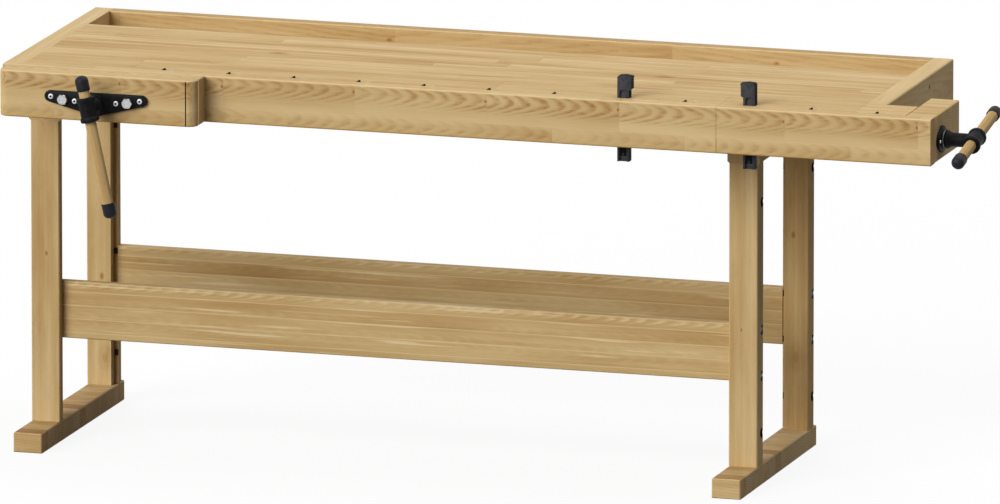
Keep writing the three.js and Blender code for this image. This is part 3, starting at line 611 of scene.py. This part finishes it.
def make_woods():
    """Each board's own beech, laid out from the board's own box."""
    top = high("apron_board").z
    solid = dict(stave_length=SOLID, phase=SOLID_PHASE)
    topside = dict(grain=X, across=Y)
    face = dict(
        grain=X, across=Z, row_start=top - FACE_ROW, row_width=FACE_ROW, stave_length=0.2925,
        row_shift=0.4925, spread=0.14, lift=0.24, figure=0.42, pip=0.9, stain=0.1, ring=0.0043,
        taper=0.12, feather=0.0, faint=0.45, stave_tone=0.09, streaks=0.3, glue=0.25,
        glue_colour=PALE_GLUE_AND_PAINTED_LIGHT, top_painted_light=-0.02, edge_wear_and_painted_light=(low("apron_board").z, top),
    )
    apron_pith = low("apron_board").y + FACE_PITH
    jaw_low, jaw_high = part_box("front_jaw")
    jaw_corners = (jaw_high.x - JAW_CORNER, jaw_low.y + JAW_CORNER)
    strip_row = high("dog_hole_board").y - low("dog_hole_board").y
    openings = frame["record"]["physics"]["openings"]
    hole_starts = [opening["box_m"][0][0] for opening in openings if "dog_hole" in opening["name"]]
    strips = ["dog_hole_board", "tail_dog_board"]
    strip_ends = [corner.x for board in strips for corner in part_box(board)]
    slab_row = (high("top_slab").y - low("top_slab").y) / SLAB_STAVES
    upper_row = 4
    stretcher_rows = UPPER_STRETCHER_ROW + upper_row * STRETCHER_ROW
    stretcher = dict(
        grain=X, across=Z, row_start=high("front_stretcher").z - stretcher_rows, row_width=STRETCHER_ROW,
        spread=0.6, figure=-0.36, ring=0.0035, taper=0.09, feather=upper_row, faint=0.2,
        dark_row=(upper_row - 1, 0.14), stave_tone=0.12, streaks=0.5, pale_lines=0.5, cloudiness=0.9,
        glue=0.5, glue_colour=PALE_GLUE_AND_PAINTED_LIGHT, lightness=0.48, **solid,
    )
    cap = dict(grain=Y, across=Z, row_start=top - 0.11, row_width=0.13, spread=0.2, figure=0.16,
               ring=0.007, taper=0.06, feather=0.0, **solid)
    cross = dict(grain=Y, across=X, row_width=0.12, pith=top - 0.14, spread=0.5, **solid)
    # The feet's tops are painted darker than their sides, as painted shade
    foot = dict(row_start=low("left_foot").y, row_width=0.044, pith=-0.05, stave_tone=0.55, figure=0.14,
                taper=0.06, streaks=0.8, glue=0.0, top_painted_light=-0.34, **topside, **solid)
    upright = dict(grain=Z, across=X, row_width=0.13, pith=-0.16, spread=0.6, figure=0.07, stain=0.12,
                   cloudiness=0.95, **solid)

    # Lightness and knots of each leg. The right back leg's low lightness is partly browner wood and partly painted
    # shade.
    legs = {
        "left_front": (0.6, ((-1.037, 0.411, 0.0022, 0.9),)),
        "left_back": (0.6, ((-1.0376, 0.283, 0.0034, 0.9), (-1.031, 0.104, 0.012, 0.25))),
        "right_front": (0.6, ((0.5127, 0.34, 0.0016, 0.7),)),
        "right_back": (0.29, ((0.5146, 0.469, 0.003, 0.8), (0.5213, 0.203, 0.013, 0.3))),
    }
    slab_knots = ((0.0298, -0.5427, 0.009, 0.6), (0.0276, 0.3184, 0.009, 0.6))
    back_rail_knots = ((0.8336, -0.398, 0.003, 0.8), (0.8336, 0.467, 0.003, 0.8))
    woods = {
        beech("beech_apron", pith=apron_pith, seed=3.0, phase=0.978, **face): ["apron_board"],
        beech("beech_tail_board", pith=apron_pith, seed=3.0, phase=0.734, **face): ["tail_front_board"],
        beech("beech_jaw", pith=jaw_low.y + FACE_PITH, seed=8.0, phase=0.687, corner_lines=jaw_corners,
              **face): ["front_jaw"],
        beech("beech_strip", row_start=low("dog_hole_board").y, row_width=strip_row, stave_length=0.8,
              pith=top - 0.16, seed=5.0, spread=1.6, glue=1.0, top_painted_light=0.04,
              holes=(hole_starts, strip_ends), **topside): strips,
        beech("beech_slab", row_start=low("top_slab").y, row_width=slab_row, stave_length=0.95,
              pith=top - 0.2, seed=2.0, spread=2.4, stave_tone=0.36, streaks=1.0, stain=0.5,
              lightness=0.66, knots=slab_knots, **topside): ["top_slab"],
        beech("beech_back_rail", X, Z, row_start=top - 0.05, row_width=0.05, stave_length=0.62,
              pith=low("back_rail").y + 0.03, seed=6.0, spread=1.2, ring=0.008, taper=0.06, figure=0.16,
              knots=back_rail_knots): ["back_rail", "tray_front_rail"],
        beech("beech_tray", row_start=low("tray_floor").y, row_width=0.08, stave_length=1.4,
              pith=top - 0.2, seed=9.0, spread=1.5, **topside): ["tray_floor", "tail_guide_block"],
        # The end block is made pale with its top painted darker: painted light on its sides and painted shade on
        # its top
        beech("beech_end_block", row_start=low("tail_end_block").y, row_width=0.027, pith=top - 0.16,
              seed=11.0, spread=1.6, stave_tone=0.15, lightness=1.0, top_painted_light=-0.4, **topside,
              **solid): ["tail_end_block"],
        beech("beech_rails", row_start=low("left_top_rail").x - 0.02, seed=10.0, **cross):
            ["left_top_rail", "right_top_rail", "cross_bearer"],
    }
    for side, seed, lightness in (("left", 4.0, 0.65), ("right", 7.0, 0.78)):
        node = f"{side}_end_cap"
        woods[beech(f"beech_{side}_cap", pith=low(node).x - 0.012, seed=seed, **cap)] = [node]
        node = f"{side}_foot"
        woods[beech(f"beech_{node}", seed=16.0, lightness=lightness, **foot)] = [node]
    for side, seed in (("front", 14.0), ("back", 15.0)):
        node = f"{side}_stretcher"
        woods[beech(f"beech_{node}", pith=low(node).y + 0.02, seed=seed, **stretcher)] = [node]
    for index, (leg, (lightness, knots)) in enumerate(legs.items()):
        side = leg.split("_")[0]
        node = f"{leg}_leg"
        bores = leg_bores(side, -1.0 if side == "left" else 1.0)
        material = beech(f"beech_{node}", row_start=low(node).x - 0.03, seed=12.0 + index,
                         lightness=lightness, knots=knots, bores=bores, **upright)
        woods[material] = [node]
    for material, names in woods.items():
        for name in names:
            dress(nodes[name], material)


make_woods()
IRON = cast_iron("black_iron")
PLASTIC = moulded_plastic("black_plastic")
ZINC = plated_steel("zinc_plate", 0.42, 0.36)
SCREW = plated_steel("screw_plate", 0.62, 0.32)
BOLT = recessed_bolt("recessed_bolt")
STEEL = plated_steel("drawn_steel", 0.5, 0.34, (0.05, 1.0, 1.0))
DOG = blued_steel("dog_steel")
HANDLE = beech("beech_handle", Z, X, row_start=-0.04, row_width=0.08, stave_length=3.0, pith=0.05,
               seed=21.0, spread=0.5, stain=0.1, lightness=0.56)

for name, node in nodes.items():
    if name.endswith("_bolt"):
        dress(node, BOLT)
    elif name.endswith("_guide_rod"):
        dress(node, STEEL)
    elif name.endswith(("_bench_dog", "_dog_spring")):
        dress(node, DOG)
    elif name.endswith("_barrel_nut") or name in ("front_nut_plate", "tail_nut_block"):
        dress(node, IRON)


def circle(radius, height, sides=ROUND_SIDES):
    turns = (2 * math.pi * index / sides for index in range(sides))
    return [Vector((radius * math.cos(turn), radius * math.sin(turn), height)) for turn in turns]


def hexagon(corner_radius, limit, height, sides=ROUND_SIDES):
    """Hexagon whose corners are cut back to a circle of the limit's radius."""
    points = []
    for index in range(sides):
        turn = 2 * math.pi * index / sides
        inner = corner_radius * math.cos(math.pi / 6) / math.cos(turn % (math.pi / 3) - math.pi / 6)
        radius = min(inner, limit)
        points.append(Vector((radius * math.cos(turn), radius * math.sin(turn), height)))
    return points


def skin(rings, closed=False):
    """Vertices and faces of a skin through rings of as many points each. An open skin is capped."""
    count = len(rings[0])
    points = [point for ring in rings for point in ring]
    faces = []
    pairs = len(rings) if closed else len(rings) - 1
    for index in range(pairs):
        first, second = index * count, (index + 1) % len(rings) * count
        for side in range(count):
            after = (side + 1) % count
            faces.append((first + side, first + after, second + after, second + side))
    if not closed:
        last = (len(rings) - 1) * count
        faces.append(tuple(reversed(range(count))))
        faces.append(tuple(range(last, last + count)))
    return points, faces


def turned(profile, closed=False, sides=ROUND_SIDES):
    return skin([circle(radius, height, sides) for radius, height in profile], closed)


def threaded(start, end, sides=32, steps_per_turn=6):
    """Shaft with a helical thread between two heights."""
    count = round((end - start) / THREAD_LEAD * steps_per_turn)
    rings = []
    for step in range(count + 1):
        height = start + (end - start) * step / count
        ring = []
        for point in circle(1.0, height, sides):
            turn = math.atan2(point.y, point.x) / (2 * math.pi)
            slope = abs(2 * ((height / THREAD_LEAD - turn) % 1.0) - 1)
            crest = min(1.0, max(0.0, 1.6 * slope - 0.3))
            radius = SCREW_RADIUS - THREAD_DEPTH * (1 - crest)
            ring.append(Vector((point.x * radius, point.y * radius, height)))
        rings.append(ring)
    return skin(rings)


def inset(points, distance):
    """Closed outline moved inwards by a distance, corner by corner."""
    moved = []
    for index, here in enumerate(points):
        before, after = points[index - 1], points[(index + 1) % len(points)]
        first, second = (here - before).normalized(), (after - here).normalized()
        normal = Vector((-first.y - second.y, first.x + second.x)).normalized()
        reach = distance / max(0.35, normal.dot(Vector((-first.y, first.x))))
        moved.append(here + normal * reach)
    return moved


def slab(points, levels):
    """Flat piece of an outline's shape. levels are (inset, height) pairs from back to front."""

    def ring(edge, height):
        return [Vector((point.x, point.y, height)) for point in inset(points, edge)]

    return skin([ring(edge, height) for edge, height in levels])


def wrapped(circles, steps=14):
    """Outline that wraps round circles given as (x, y, radius) in anticlockwise order."""
    leaves = []
    for index, (x, y, radius) in enumerate(circles):
        next_x, next_y, next_radius = circles[(index + 1) % len(circles)]
        distance = math.hypot(next_x - x, next_y - y)
        leaves.append(math.atan2(next_y - y, next_x - x) - math.acos((radius - next_radius) / distance))
    points = []
    for index, (x, y, radius) in enumerate(circles):
        start, end = leaves[index - 1], leaves[index]
        while end < start:
            end += 2 * math.pi
        for step in range(steps + 1):
            turn = start + (end - start) * step / steps
            points.append(Vector((x + radius * math.cos(turn), y + radius * math.sin(turn))))
    return points


def mesh_of(name, *shells):
    """One mesh from closed shells, each (points, faces) or (points, faces, matrix)."""
    mesh = bmesh.new()
    for points, faces, *matrix in shells:
        place = matrix[0] if matrix else Matrix.Identity(4)
        made = [mesh.verts.new(place @ point) for point in points]
        for face in faces:
            mesh.faces.new([made[index] for index in face])
    bmesh.ops.recalc_face_normals(mesh, faces=mesh.faces)
    result = bpy.data.meshes.new(name)
    mesh.to_mesh(result)
    mesh.free()
    return result


def new_object(name, data):
    made = bpy.data.objects.new(name, data)
    bpy.context.scene.collection.objects.link(made)
    return made


def applied(mesh, *steps, cutter=None):
    """Mesh after (modifier type, settings) steps, then cut by another mesh."""
    holder = new_object("holder", mesh)
    for kind, settings in steps:
        modifier = holder.modifiers.new(kind, kind)
        for key, value in settings.items():
            setattr(modifier, key, value)
    tool = None
    if cutter:
        tool = new_object("cutter", cutter)
        modifier = holder.modifiers.new("cut", "BOOLEAN")
        modifier.operation = "DIFFERENCE"
        modifier.solver = "EXACT"
        modifier.object = tool
    graph = bpy.context.evaluated_depsgraph_get()
    result = bpy.data.meshes.new_from_object(holder.evaluated_get(graph))
    bpy.data.objects.remove(holder)
    if tool:
        bpy.data.objects.remove(tool)
    return result


def add_piece(name, mesh, place, body, material, slot, *replaced, sharp=35.0, socket=0.0):
    """Puts a finished mesh into the scene on its body, standing for the nodes that it replaces.
    Faces nearer the local Z axis than a socket's radius get the black iron, as painted shade in the socket."""
    mesh.materials.clear()
    mesh.materials.append(material)
    # Painted shade: the socket's inside faces take the black iron
    if socket:
        mesh.materials.append(IRON)
        for face in mesh.polygons:
            face.material_index = int(face.center.xy.length < socket and face.center.z > 0)
    mesh.shade_smooth()
    mesh.set_sharp_from_angle(angle=math.radians(sharp))
    piece = new_object(name, mesh)
    piece.matrix_world = place
    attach(piece, body)
    if replaced:
        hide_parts(*replaced)


def frame_at(origin, z_axis, y_axis):
    """Matrix whose local Z and Y point along the given directions."""
    z_axis, y_axis = Vector(z_axis).normalized(), Vector(y_axis).normalized()
    x_axis = y_axis.cross(z_axis)
    matrix = Matrix((x_axis, y_axis, z_axis)).transposed().to_4x4()
    matrix.translation = origin
    return matrix


def along(matrix, x=0.0, y=0.0, z=0.0):
    return matrix @ Matrix.Translation((x, y, z))


def make_screw(name, face_node, far_cap, near_cap):
    """Cast T head, threaded shaft, turned handle bar and its moulded caps."""
    turn = joints[f"{name}_screw_turn"]
    bar_line = Vector(joints[f"{name}_handle_slide"]["axis"])
    axis = Vector(turn["axis"])
    origin = Vector(turn["pos_m"])
    place = frame_at(origin, axis, bar_line)
    face = max((corner - origin).dot(axis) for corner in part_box(face_node))
    shaft_end = min((corner - origin).dot(axis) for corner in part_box(f"{name}_spindle"))
    bar_low, bar_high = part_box(f"{name}_handle_bar")
    bar_middle = (bar_low + bar_high) / 2 - origin
    reach = bar_middle.dot(axis)
    drop = bar_middle.dot(bar_line)

    collar_start = face + RUNNING_GAP
    collar_end = collar_start + COLLAR_LENGTH
    neck = turned([
        (COLLAR_RADIUS - TURNED_EASE, collar_start), (COLLAR_RADIUS, collar_start + TURNED_EASE),
        (COLLAR_RADIUS, collar_end - 2 * TURNED_EASE),
        (NECK_RADIUS + 0.4 * NECK_FILLET, collar_end + 0.2 * NECK_FILLET),
        (NECK_RADIUS, collar_end + NECK_FILLET), (NECK_RADIUS, reach),
    ])
    half = SLEEVE_LENGTH / 2
    flare = SLEEVE_RIM_LENGTH + SLEEVE_FLARE
    sleeve = turned([
        (SLEEVE_FACE_RADIUS, -half), (SLEEVE_RIM_RADIUS, TURNED_EASE - half),
        (SLEEVE_RIM_RADIUS, SLEEVE_RIM_LENGTH - half), (SLEEVE_RADIUS, flare - half),
        (SLEEVE_RADIUS, half - flare), (SLEEVE_RIM_RADIUS, half - SLEEVE_RIM_LENGTH),
        (SLEEVE_RIM_RADIUS, half - TURNED_EASE), (SLEEVE_FACE_RADIUS, half),
    ])
    across_head = Matrix.Translation((0, 0, reach)) @ Matrix.Rotation(math.radians(-90), 4, "X")
    rough_head = mesh_of(f"{name}_head", neck, (*sleeve, across_head))
    bore_shell = turned([(BORE_RADIUS, -BORE_REACH), (BORE_RADIUS, BORE_REACH)])
    bore = mesh_of("bore", (*bore_shell, across_head))
    head = applied(
        rough_head,
        ("REMESH", {"mode": "VOXEL", "voxel_size": HEAD_VOXEL}),
        ("SMOOTH", {"factor": 0.5, "iterations": 6}),
        cutter=bore,
    )
    add_piece(f"{name}_screw_head", head, place, f"{name}_screw", IRON, "black_iron",
              f"{name}_spindle")

    journal = turned([
        (SCREW_RADIUS, -THRUST_LENGTH - 2 * SHAFT_OVERLAP), (SCREW_RADIUS, -THRUST_LENGTH - RUNNING_GAP),
        (THRUST_RADIUS, -THRUST_LENGTH - RUNNING_GAP), (THRUST_RADIUS, -RUNNING_GAP),
        (SCREW_RADIUS, -RUNNING_GAP), (SCREW_RADIUS, collar_start + SHAFT_OVERLAP),
    ])
    thread = threaded(shaft_end, -THRUST_LENGTH - SHAFT_OVERLAP)
    shaft = mesh_of(f"{name}_shaft", journal, thread)
    add_piece(f"{name}_screw_shaft", shaft, place, f"{name}_screw", STEEL, "plain_steel",
              sharp=50.0)

    handle_place = frame_at(origin + axis * reach + bar_line * drop, bar_line, axis)
    end = HANDLE_LENGTH / 2 - CAP_WALL
    bar = mesh_of(f"{name}_bar", turned([
        (BAR_RADIUS - TURNED_EASE, -end), (BAR_RADIUS, TURNED_EASE - end),
        (BAR_RADIUS, end - TURNED_EASE), (BAR_RADIUS - TURNED_EASE, end),
    ]))
    add_piece(f"{name}_handle_turned_bar", bar, handle_place, f"{name}_handle", HANDLE, "handle_beech",
              f"{name}_handle_bar")
    half_turn = Matrix.Rotation(math.pi, 4, "X")
    for cap, turn_round in ((far_cap, Matrix.Identity(4)), (near_cap, half_turn)):
        cap_place = along(handle_place @ turn_round, z=HANDLE_LENGTH / 2 - CAP_LENGTH)
        add_piece(f"{cap}_moulded", mesh_of(cap, cap_shell()), cap_place, f"{name}_handle", PLASTIC,
                  "black_plastic", cap)


def cap_shell():
    """Cup with an eased rim, two shallow grooves and a domed end."""
    profile = [(CAP_BORE, CAP_LENGTH - CAP_WALL), (CAP_BORE, 0.0), (CAP_RADIUS - CAP_EASE, 0.0),
               (CAP_RADIUS, CAP_EASE)]
    floor_radius = CAP_RADIUS - GROOVE_DEPTH
    for groove in CAP_GROOVES:
        profile += [(CAP_RADIUS, groove - GROOVE_HALF), (floor_radius, groove - GROOVE_HALF / 2),
                    (floor_radius, groove + GROOVE_HALF / 2), (CAP_RADIUS, groove + GROOVE_HALF)]
    dome_steps = 10
    for step in range(dome_steps):
        angle = step / dome_steps * math.pi / 2
        height = CAP_LENGTH - CAP_DOME * (1 - math.sin(angle))
        profile.append((CAP_RADIUS * math.cos(angle), height))
    return turned(profile)


def button_screw(radius, height, socket):
    """Domed screw head with a hexagon socket, standing on the plane Z = 0."""
    rings = [circle(radius, 0.0)]
    for share in (0.25, 0.55, 0.8, 0.95):
        rings.append(circle(radius * math.cos(share * 0.9), height * math.sin(share * math.pi / 2)))
    rings.append(circle(socket * 1.15, height))
    rings.append(hexagon(socket, socket, height))
    rings.append(hexagon(socket, socket, height * 0.2))
    return skin(rings)


def make_front_plate():
    """Kite-shaped cast plate with its boss, the two hexagon-headed guide rods and four screws."""
    turn = joints["front_screw_turn"]
    place = frame_at(Vector(turn["pos_m"]), turn["axis"], (0, 0, 1))
    lobes = [(PLATE_LOBE_SPREAD, PLATE_LOBE_RISE, PLATE_LOBE_RADIUS),
             (-PLATE_LOBE_SPREAD, PLATE_LOBE_RISE, PLATE_LOBE_RADIUS), (0.0, 0.0, PLATE_HUB_RADIUS)]
    front = PLATE_THICKNESS
    levels = [(0.0, SEAT_GAP)] + [(edge, front - drop) for edge, drop in PLATE_EDGE]
    plate = slab(wrapped(lobes), levels)
    face = place.translation.y - low("front_vise_plate").y
    foot = PLATE_BOSS_RADIUS + BOSS_FILLET
    boss = turned([
        (SCREW_BORE, front - BOSS_SINK), (foot, front - BOSS_SINK), (foot, front),
        (PLATE_BOSS_RADIUS + BOSS_FILLET_DIP, front + BOSS_FILLET_DIP),
        (PLATE_BOSS_RADIUS, front + BOSS_FILLET), (PLATE_BOSS_RADIUS, face - BOSS_EASE),
        (PLATE_BOSS_RADIUS - BOSS_EASE, face), (SCREW_BORE, face),
    ], closed=True)
    add_piece("front_plate_cast", mesh_of("front_plate", plate, boss), place, "front_jaw", IRON,
              "black_iron", "front_vise_plate")

    # Outline of a bolt head from its washer face up: how far its corners reach, and the height
    top = GUIDE_BOLT_HEIGHT
    head_levels = ((0.93, 0.0006), (1.0, 0.0016), (1.0, top * 0.78), (0.93, top * 0.9), (0.84, top))
    for side in ("left", "right"):
        node = f"front_{side}_guide_rod"
        rod_low, rod_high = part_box(node)
        centre = (rod_low + rod_high) / 2
        rod_foot = Vector((centre.x, place.translation.y - front, centre.z))
        rod_place = frame_at(rod_foot, turn["axis"], (0, 0, 1))
        rings = [circle(GUIDE_BOLT_RADIUS * 0.8, SEAT_GAP)]
        for share, height in head_levels:
            rings.append(hexagon(GUIDE_BOLT_RADIUS, GUIDE_BOLT_RADIUS * share, height))
        end = rod_high.y - rod_foot.y
        rod = turned([(GUIDE_ROD_RADIUS - TURNED_EASE, -end), (GUIDE_ROD_RADIUS, TURNED_EASE - end),
                      (GUIDE_ROD_RADIUS, GUIDE_ROD_SINK)])
        add_piece(f"front_{side}_guide_bolt", mesh_of(node, skin(rings), rod), rod_place, "front_jaw",
                  ZINC, "zinc_steel", node)

    for where, (spread, rise) in PLATE_SCREW_PLACES.items():
        for side, sign in (("left", -1), ("right", 1)):
            screw_place = along(place, x=sign * spread, y=rise, z=front - SEAT_GAP)
            screw = mesh_of("plate_screw", button_screw(**PLATE_SCREW))
            add_piece(f"front_plate_{where}_{side}_screw", screw, screw_place, "front_jaw", SCREW,
                      "zinc_steel", socket=PLATE_SCREW["socket"])


def lobed(side_reach, up_reach, dip, height, sides=96):
    """Rounded outline with four lobes: two to the sides, one up and one down, and dips between."""
    points = []
    for point in circle(1.0, 0.0, sides):
        turn = math.atan2(point.y, point.x)
        reach = up_reach + (side_reach - up_reach) * point.x ** 2 - dip * (1 - math.cos(4 * turn)) / 2
        points.append(Vector((point.x * reach, point.y * reach, height)))
    return points


def make_flange():
    """Lobed flange of the tail screw, its bright washer and two screws."""
    turn = joints["tail_screw_turn"]
    place = frame_at(Vector(turn["pos_m"]), turn["axis"], (0, 0, 1))
    face = high("tail_flange").x - place.translation.x
    rim = face - FLANGE_BOSS_HEIGHT
    seat = face - WASHER_SINK
    levels = [(0.0, SEAT_GAP)] + [(edge, rim - drop) for edge, drop in FLANGE_EDGE]
    rings = []
    for edge, height in levels:
        rings.append(lobed(FLANGE_EAR - edge, FLANGE_RADIUS - edge, FLANGE_DIP, height))
    boss = ((FLANGE_BOSS_FOOT, rim + FLANGE_BREAK), (FLANGE_BOSS_RADIUS, seat), (SCREW_BORE, seat),
            (SCREW_BORE, SEAT_GAP))
    for radius, height in boss:
        rings.append(lobed(radius, radius, 0.0, height))
    flange = mesh_of("tail_flange", skin(rings, closed=True))
    add_piece("tail_flange_turned", flange, place, "tail_vise", IRON, "black_iron", "tail_flange")
    back = seat + WASHER_GAP
    front = face + WASHER_EASE
    washer = turned([
        (SCREW_BORE, back), (WASHER_RADIUS - WASHER_EASE, back), (WASHER_RADIUS, back + WASHER_EASE),
        (WASHER_RADIUS, front - FLANGE_BREAK), (WASHER_RADIUS - WASHER_EASE, front), (SCREW_BORE, front),
    ], closed=True)
    add_piece("tail_washer", mesh_of("tail_washer", washer), place, "tail_vise", ZINC, "zinc_steel")
    for where, side in (("near", -1), ("far", 1)):
        screw_place = along(place, x=side * FLANGE_SCREW_SPREAD, z=rim - SEAT_GAP)
        screw = mesh_of("flange_screw", button_screw(**FLANGE_SCREW))
        add_piece(f"tail_flange_{where}_screw", screw, screw_place, "tail_vise", SCREW, "zinc_steel",
                  socket=FLANGE_SCREW["socket"])


def make_dog(side, grip):
    """Steel dog with a toothed grip face, eased edges, a spring slot and the spring's rivet."""
    node = f"{side}_bench_dog"
    dog_low, dog_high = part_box(node)
    spring_low, spring_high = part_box(f"{side}_dog_spring")
    middle = (spring_low.x + spring_high.x) / 2
    depth = (dog_low.y + dog_high.y) / 2
    place = frame_at(Vector((middle, depth, dog_low.z)), (0, -1, 0), (0, 0, 1))
    head_low = DOG_LENGTH - DOG_HEAD_HEIGHT
    reach = DOG_HALF_LENGTH + DOG_OVERHANG
    right = [(DOG_HALF_LENGTH, 0.0), (DOG_HALF_LENGTH, head_low - DOG_SHOULDER), (reach, head_low)]
    tooth = (DOG_HEAD_HEIGHT - DOG_CROWN) / DOG_TEETH
    for index in range(1, DOG_TEETH):
        right.append((reach - DOG_TOOTH_DEPTH, head_low + tooth * (index - 0.35)))
        right.append((reach, head_low + tooth * index))
    top = [(reach, DOG_LENGTH - DOG_CROWN), (DOG_OVERHANG / 2, DOG_LENGTH),
           (DOG_BACK_EASE - DOG_HALF_LENGTH, DOG_LENGTH - DOG_CROWN * 0.6),
           (-DOG_HALF_LENGTH, DOG_LENGTH - DOG_CROWN * 2)]
    points = [Vector((grip * x, y)) for x, y in [(-DOG_HALF_LENGTH, 0.0), *right, *top]]
    if grip < 0:
        points.reverse()
    half = DOG_HALF_WIDTH
    ease = DOG_EASE
    slight = DOG_EASE * 0.3
    blank = mesh_of(node, slab(points, [(ease, -half), (slight, slight - half), (0.0, ease - half),
                                        (0.0, half - ease), (slight, half - slight), (ease, half)]))
    arc_middle = DOG_LENGTH - DOG_SLOT_TOP - DOG_SLOT_HALF
    outline = [Vector((-DOG_SLOT_HALF, -SLOT_CUT)), Vector((DOG_SLOT_HALF, -SLOT_CUT))]
    arc_steps = 16
    for step in range(arc_steps + 1):
        turn = math.pi * step / arc_steps
        arc_point = (DOG_SLOT_HALF * math.cos(turn), arc_middle + DOG_SLOT_HALF * math.sin(turn))
        outline.append(Vector(arc_point))
    slot_floor = half - DOG_SLOT_DEPTH
    cutter = mesh_of("slot", slab(outline, [(0.0, slot_floor), (0.0, half + SLOT_CUT)]))
    body = applied(blank, cutter=cutter)
    add_piece(f"{side}_dog_toothed", body, place, f"{side}_dog", DOG, "dog_steel", node, sharp=30.0)
    shares = ((1.0, 0.0), (1.0, 0.375), (0.75, 0.8125), (1 / 3, 1.0))
    rivet = turned([(RIVET_RADIUS * out, RIVET_HEIGHT * up) for out, up in shares], sides=24)
    rivet_place = along(place, y=RIVET_LEVEL, z=slot_floor + SPRING_THICKNESS)
    add_piece(f"{side}_dog_rivet", mesh_of("rivet", rivet), rivet_place, f"{side}_dog", DOG, "dog_steel")


make_screw("front", "front_vise_plate", "front_handle_upper_cap", "front_handle_lower_cap")
make_screw("tail", "tail_flange", "tail_handle_back_cap", "tail_handle_front_cap")
make_front_plate()
make_flange()
make_dog("left", 1)
make_dog("right", -1)


def make_world():
    """White to the camera and in reflections, dim to everything else."""
    n = Shader("studio", bpy.data.worlds)
    bpy.context.scene.world = n.owner
    dim = n.add("ShaderNodeBackground", {"Color": WHITE, "Strength": WORLD_LIGHT})
    white = n.add("ShaderNodeBackground", {"Color": WHITE, "Strength": 1.0})
    blend = n.add("ShaderNodeMixShader", {0: n.seen(), 1: dim.outputs[0], 2: white.outputs[0]})
    n.add("ShaderNodeOutputWorld", {"Surface": blend.outputs[0]})


def make_floor():
    """Pale floor that keeps a soft shadow and throws little light back up."""
    sides = ((-1, -1), (1, -1), (1, 1), (-1, 1))
    corners = [(x * FLOOR_HALF, y * FLOOR_HALF, 0) for x, y in sides]
    mesh = bpy.data.meshes.new("floor")
    mesh.from_pydata(corners, [], [(0, 1, 2, 3)])
    floor = new_object("floor", mesh)
    n = Shader("floor")
    seen = n.seen()
    tone = n.mix(seen, FLOOR_BOUNCE, FLOOR_SEEN)
    diffuse = n.add("ShaderNodeBsdfDiffuse", {"Color": tone}).outputs[0]
    glow = n.add("ShaderNodeEmission", {"Color": WHITE, "Strength": 1.0}).outputs[0]
    mixed = n.add("ShaderNodeMixShader", {0: n.times(seen, FLOOR_GLOW), 1: diffuse, 2: glow})
    n.add("ShaderNodeOutputMaterial", {"Surface": mixed.outputs[0]})
    mesh.materials.append(n.owner)


def make_lights():
    """Broad soft light from the front left, another from overhead and a weaker one from behind."""
    # Name, direction it comes from, strength, spread in degrees, and whether it shows in gloss
    lights = (
        ("front_light", (-0.46, -0.78, 0.42), 3.15, 46.0, True),
        ("top_light", (0.25, 0.1, 0.96), 1.56, 60.0, True),
        ("back_light", (-0.5, 0.85, 0.15), 1.3, 40.0, False),
    )
    for name, towards, strength, spread, shines in lights:
        lamp = bpy.data.lights.new(name, "SUN")
        lamp.energy = strength
        lamp.angle = math.radians(spread)
        light = new_object(name, lamp)
        light.visible_glossy = shines
        light.rotation_mode = "QUATERNION"
        light.rotation_quaternion = Vector(towards).to_track_quat("Z", "Y")


def make_camera():
    """Very long lens, so that the view is nearly as parallel as the photograph's."""
    level = math.cos(ELEVATION)
    back = Vector((math.sin(AZIMUTH) * level, -math.cos(AZIMUTH) * level, math.sin(ELEVATION)))
    right = Vector((math.cos(AZIMUTH), math.sin(AZIMUTH), 0.0))
    up = back.cross(right)
    offset_right = (AIM_PIXEL[0] - IMAGE_SIZE[0] / 2) * METRES_PER_PIXEL
    offset_down = (AIM_PIXEL[1] - IMAGE_SIZE[1] / 2) * METRES_PER_PIXEL
    centre = AIM_POINT - right * offset_right + up * offset_down
    distance = IMAGE_SIZE[0] * METRES_PER_PIXEL * LENS / SENSOR
    data = bpy.data.cameras.new("camera")
    data.lens = LENS
    data.sensor_width = SENSOR
    data.clip_start = 1.0
    data.clip_end = 2 * distance
    camera = new_object("camera", data)
    camera.location = centre + back * distance
    camera.rotation_mode = "QUATERNION"
    camera.rotation_quaternion = (-back).to_track_quat("-Z", "Y")
    bpy.context.scene.camera = camera


bpy.context.scene.view_settings.view_transform = "Standard"
make_world()
make_floor()
make_lights()
make_camera()
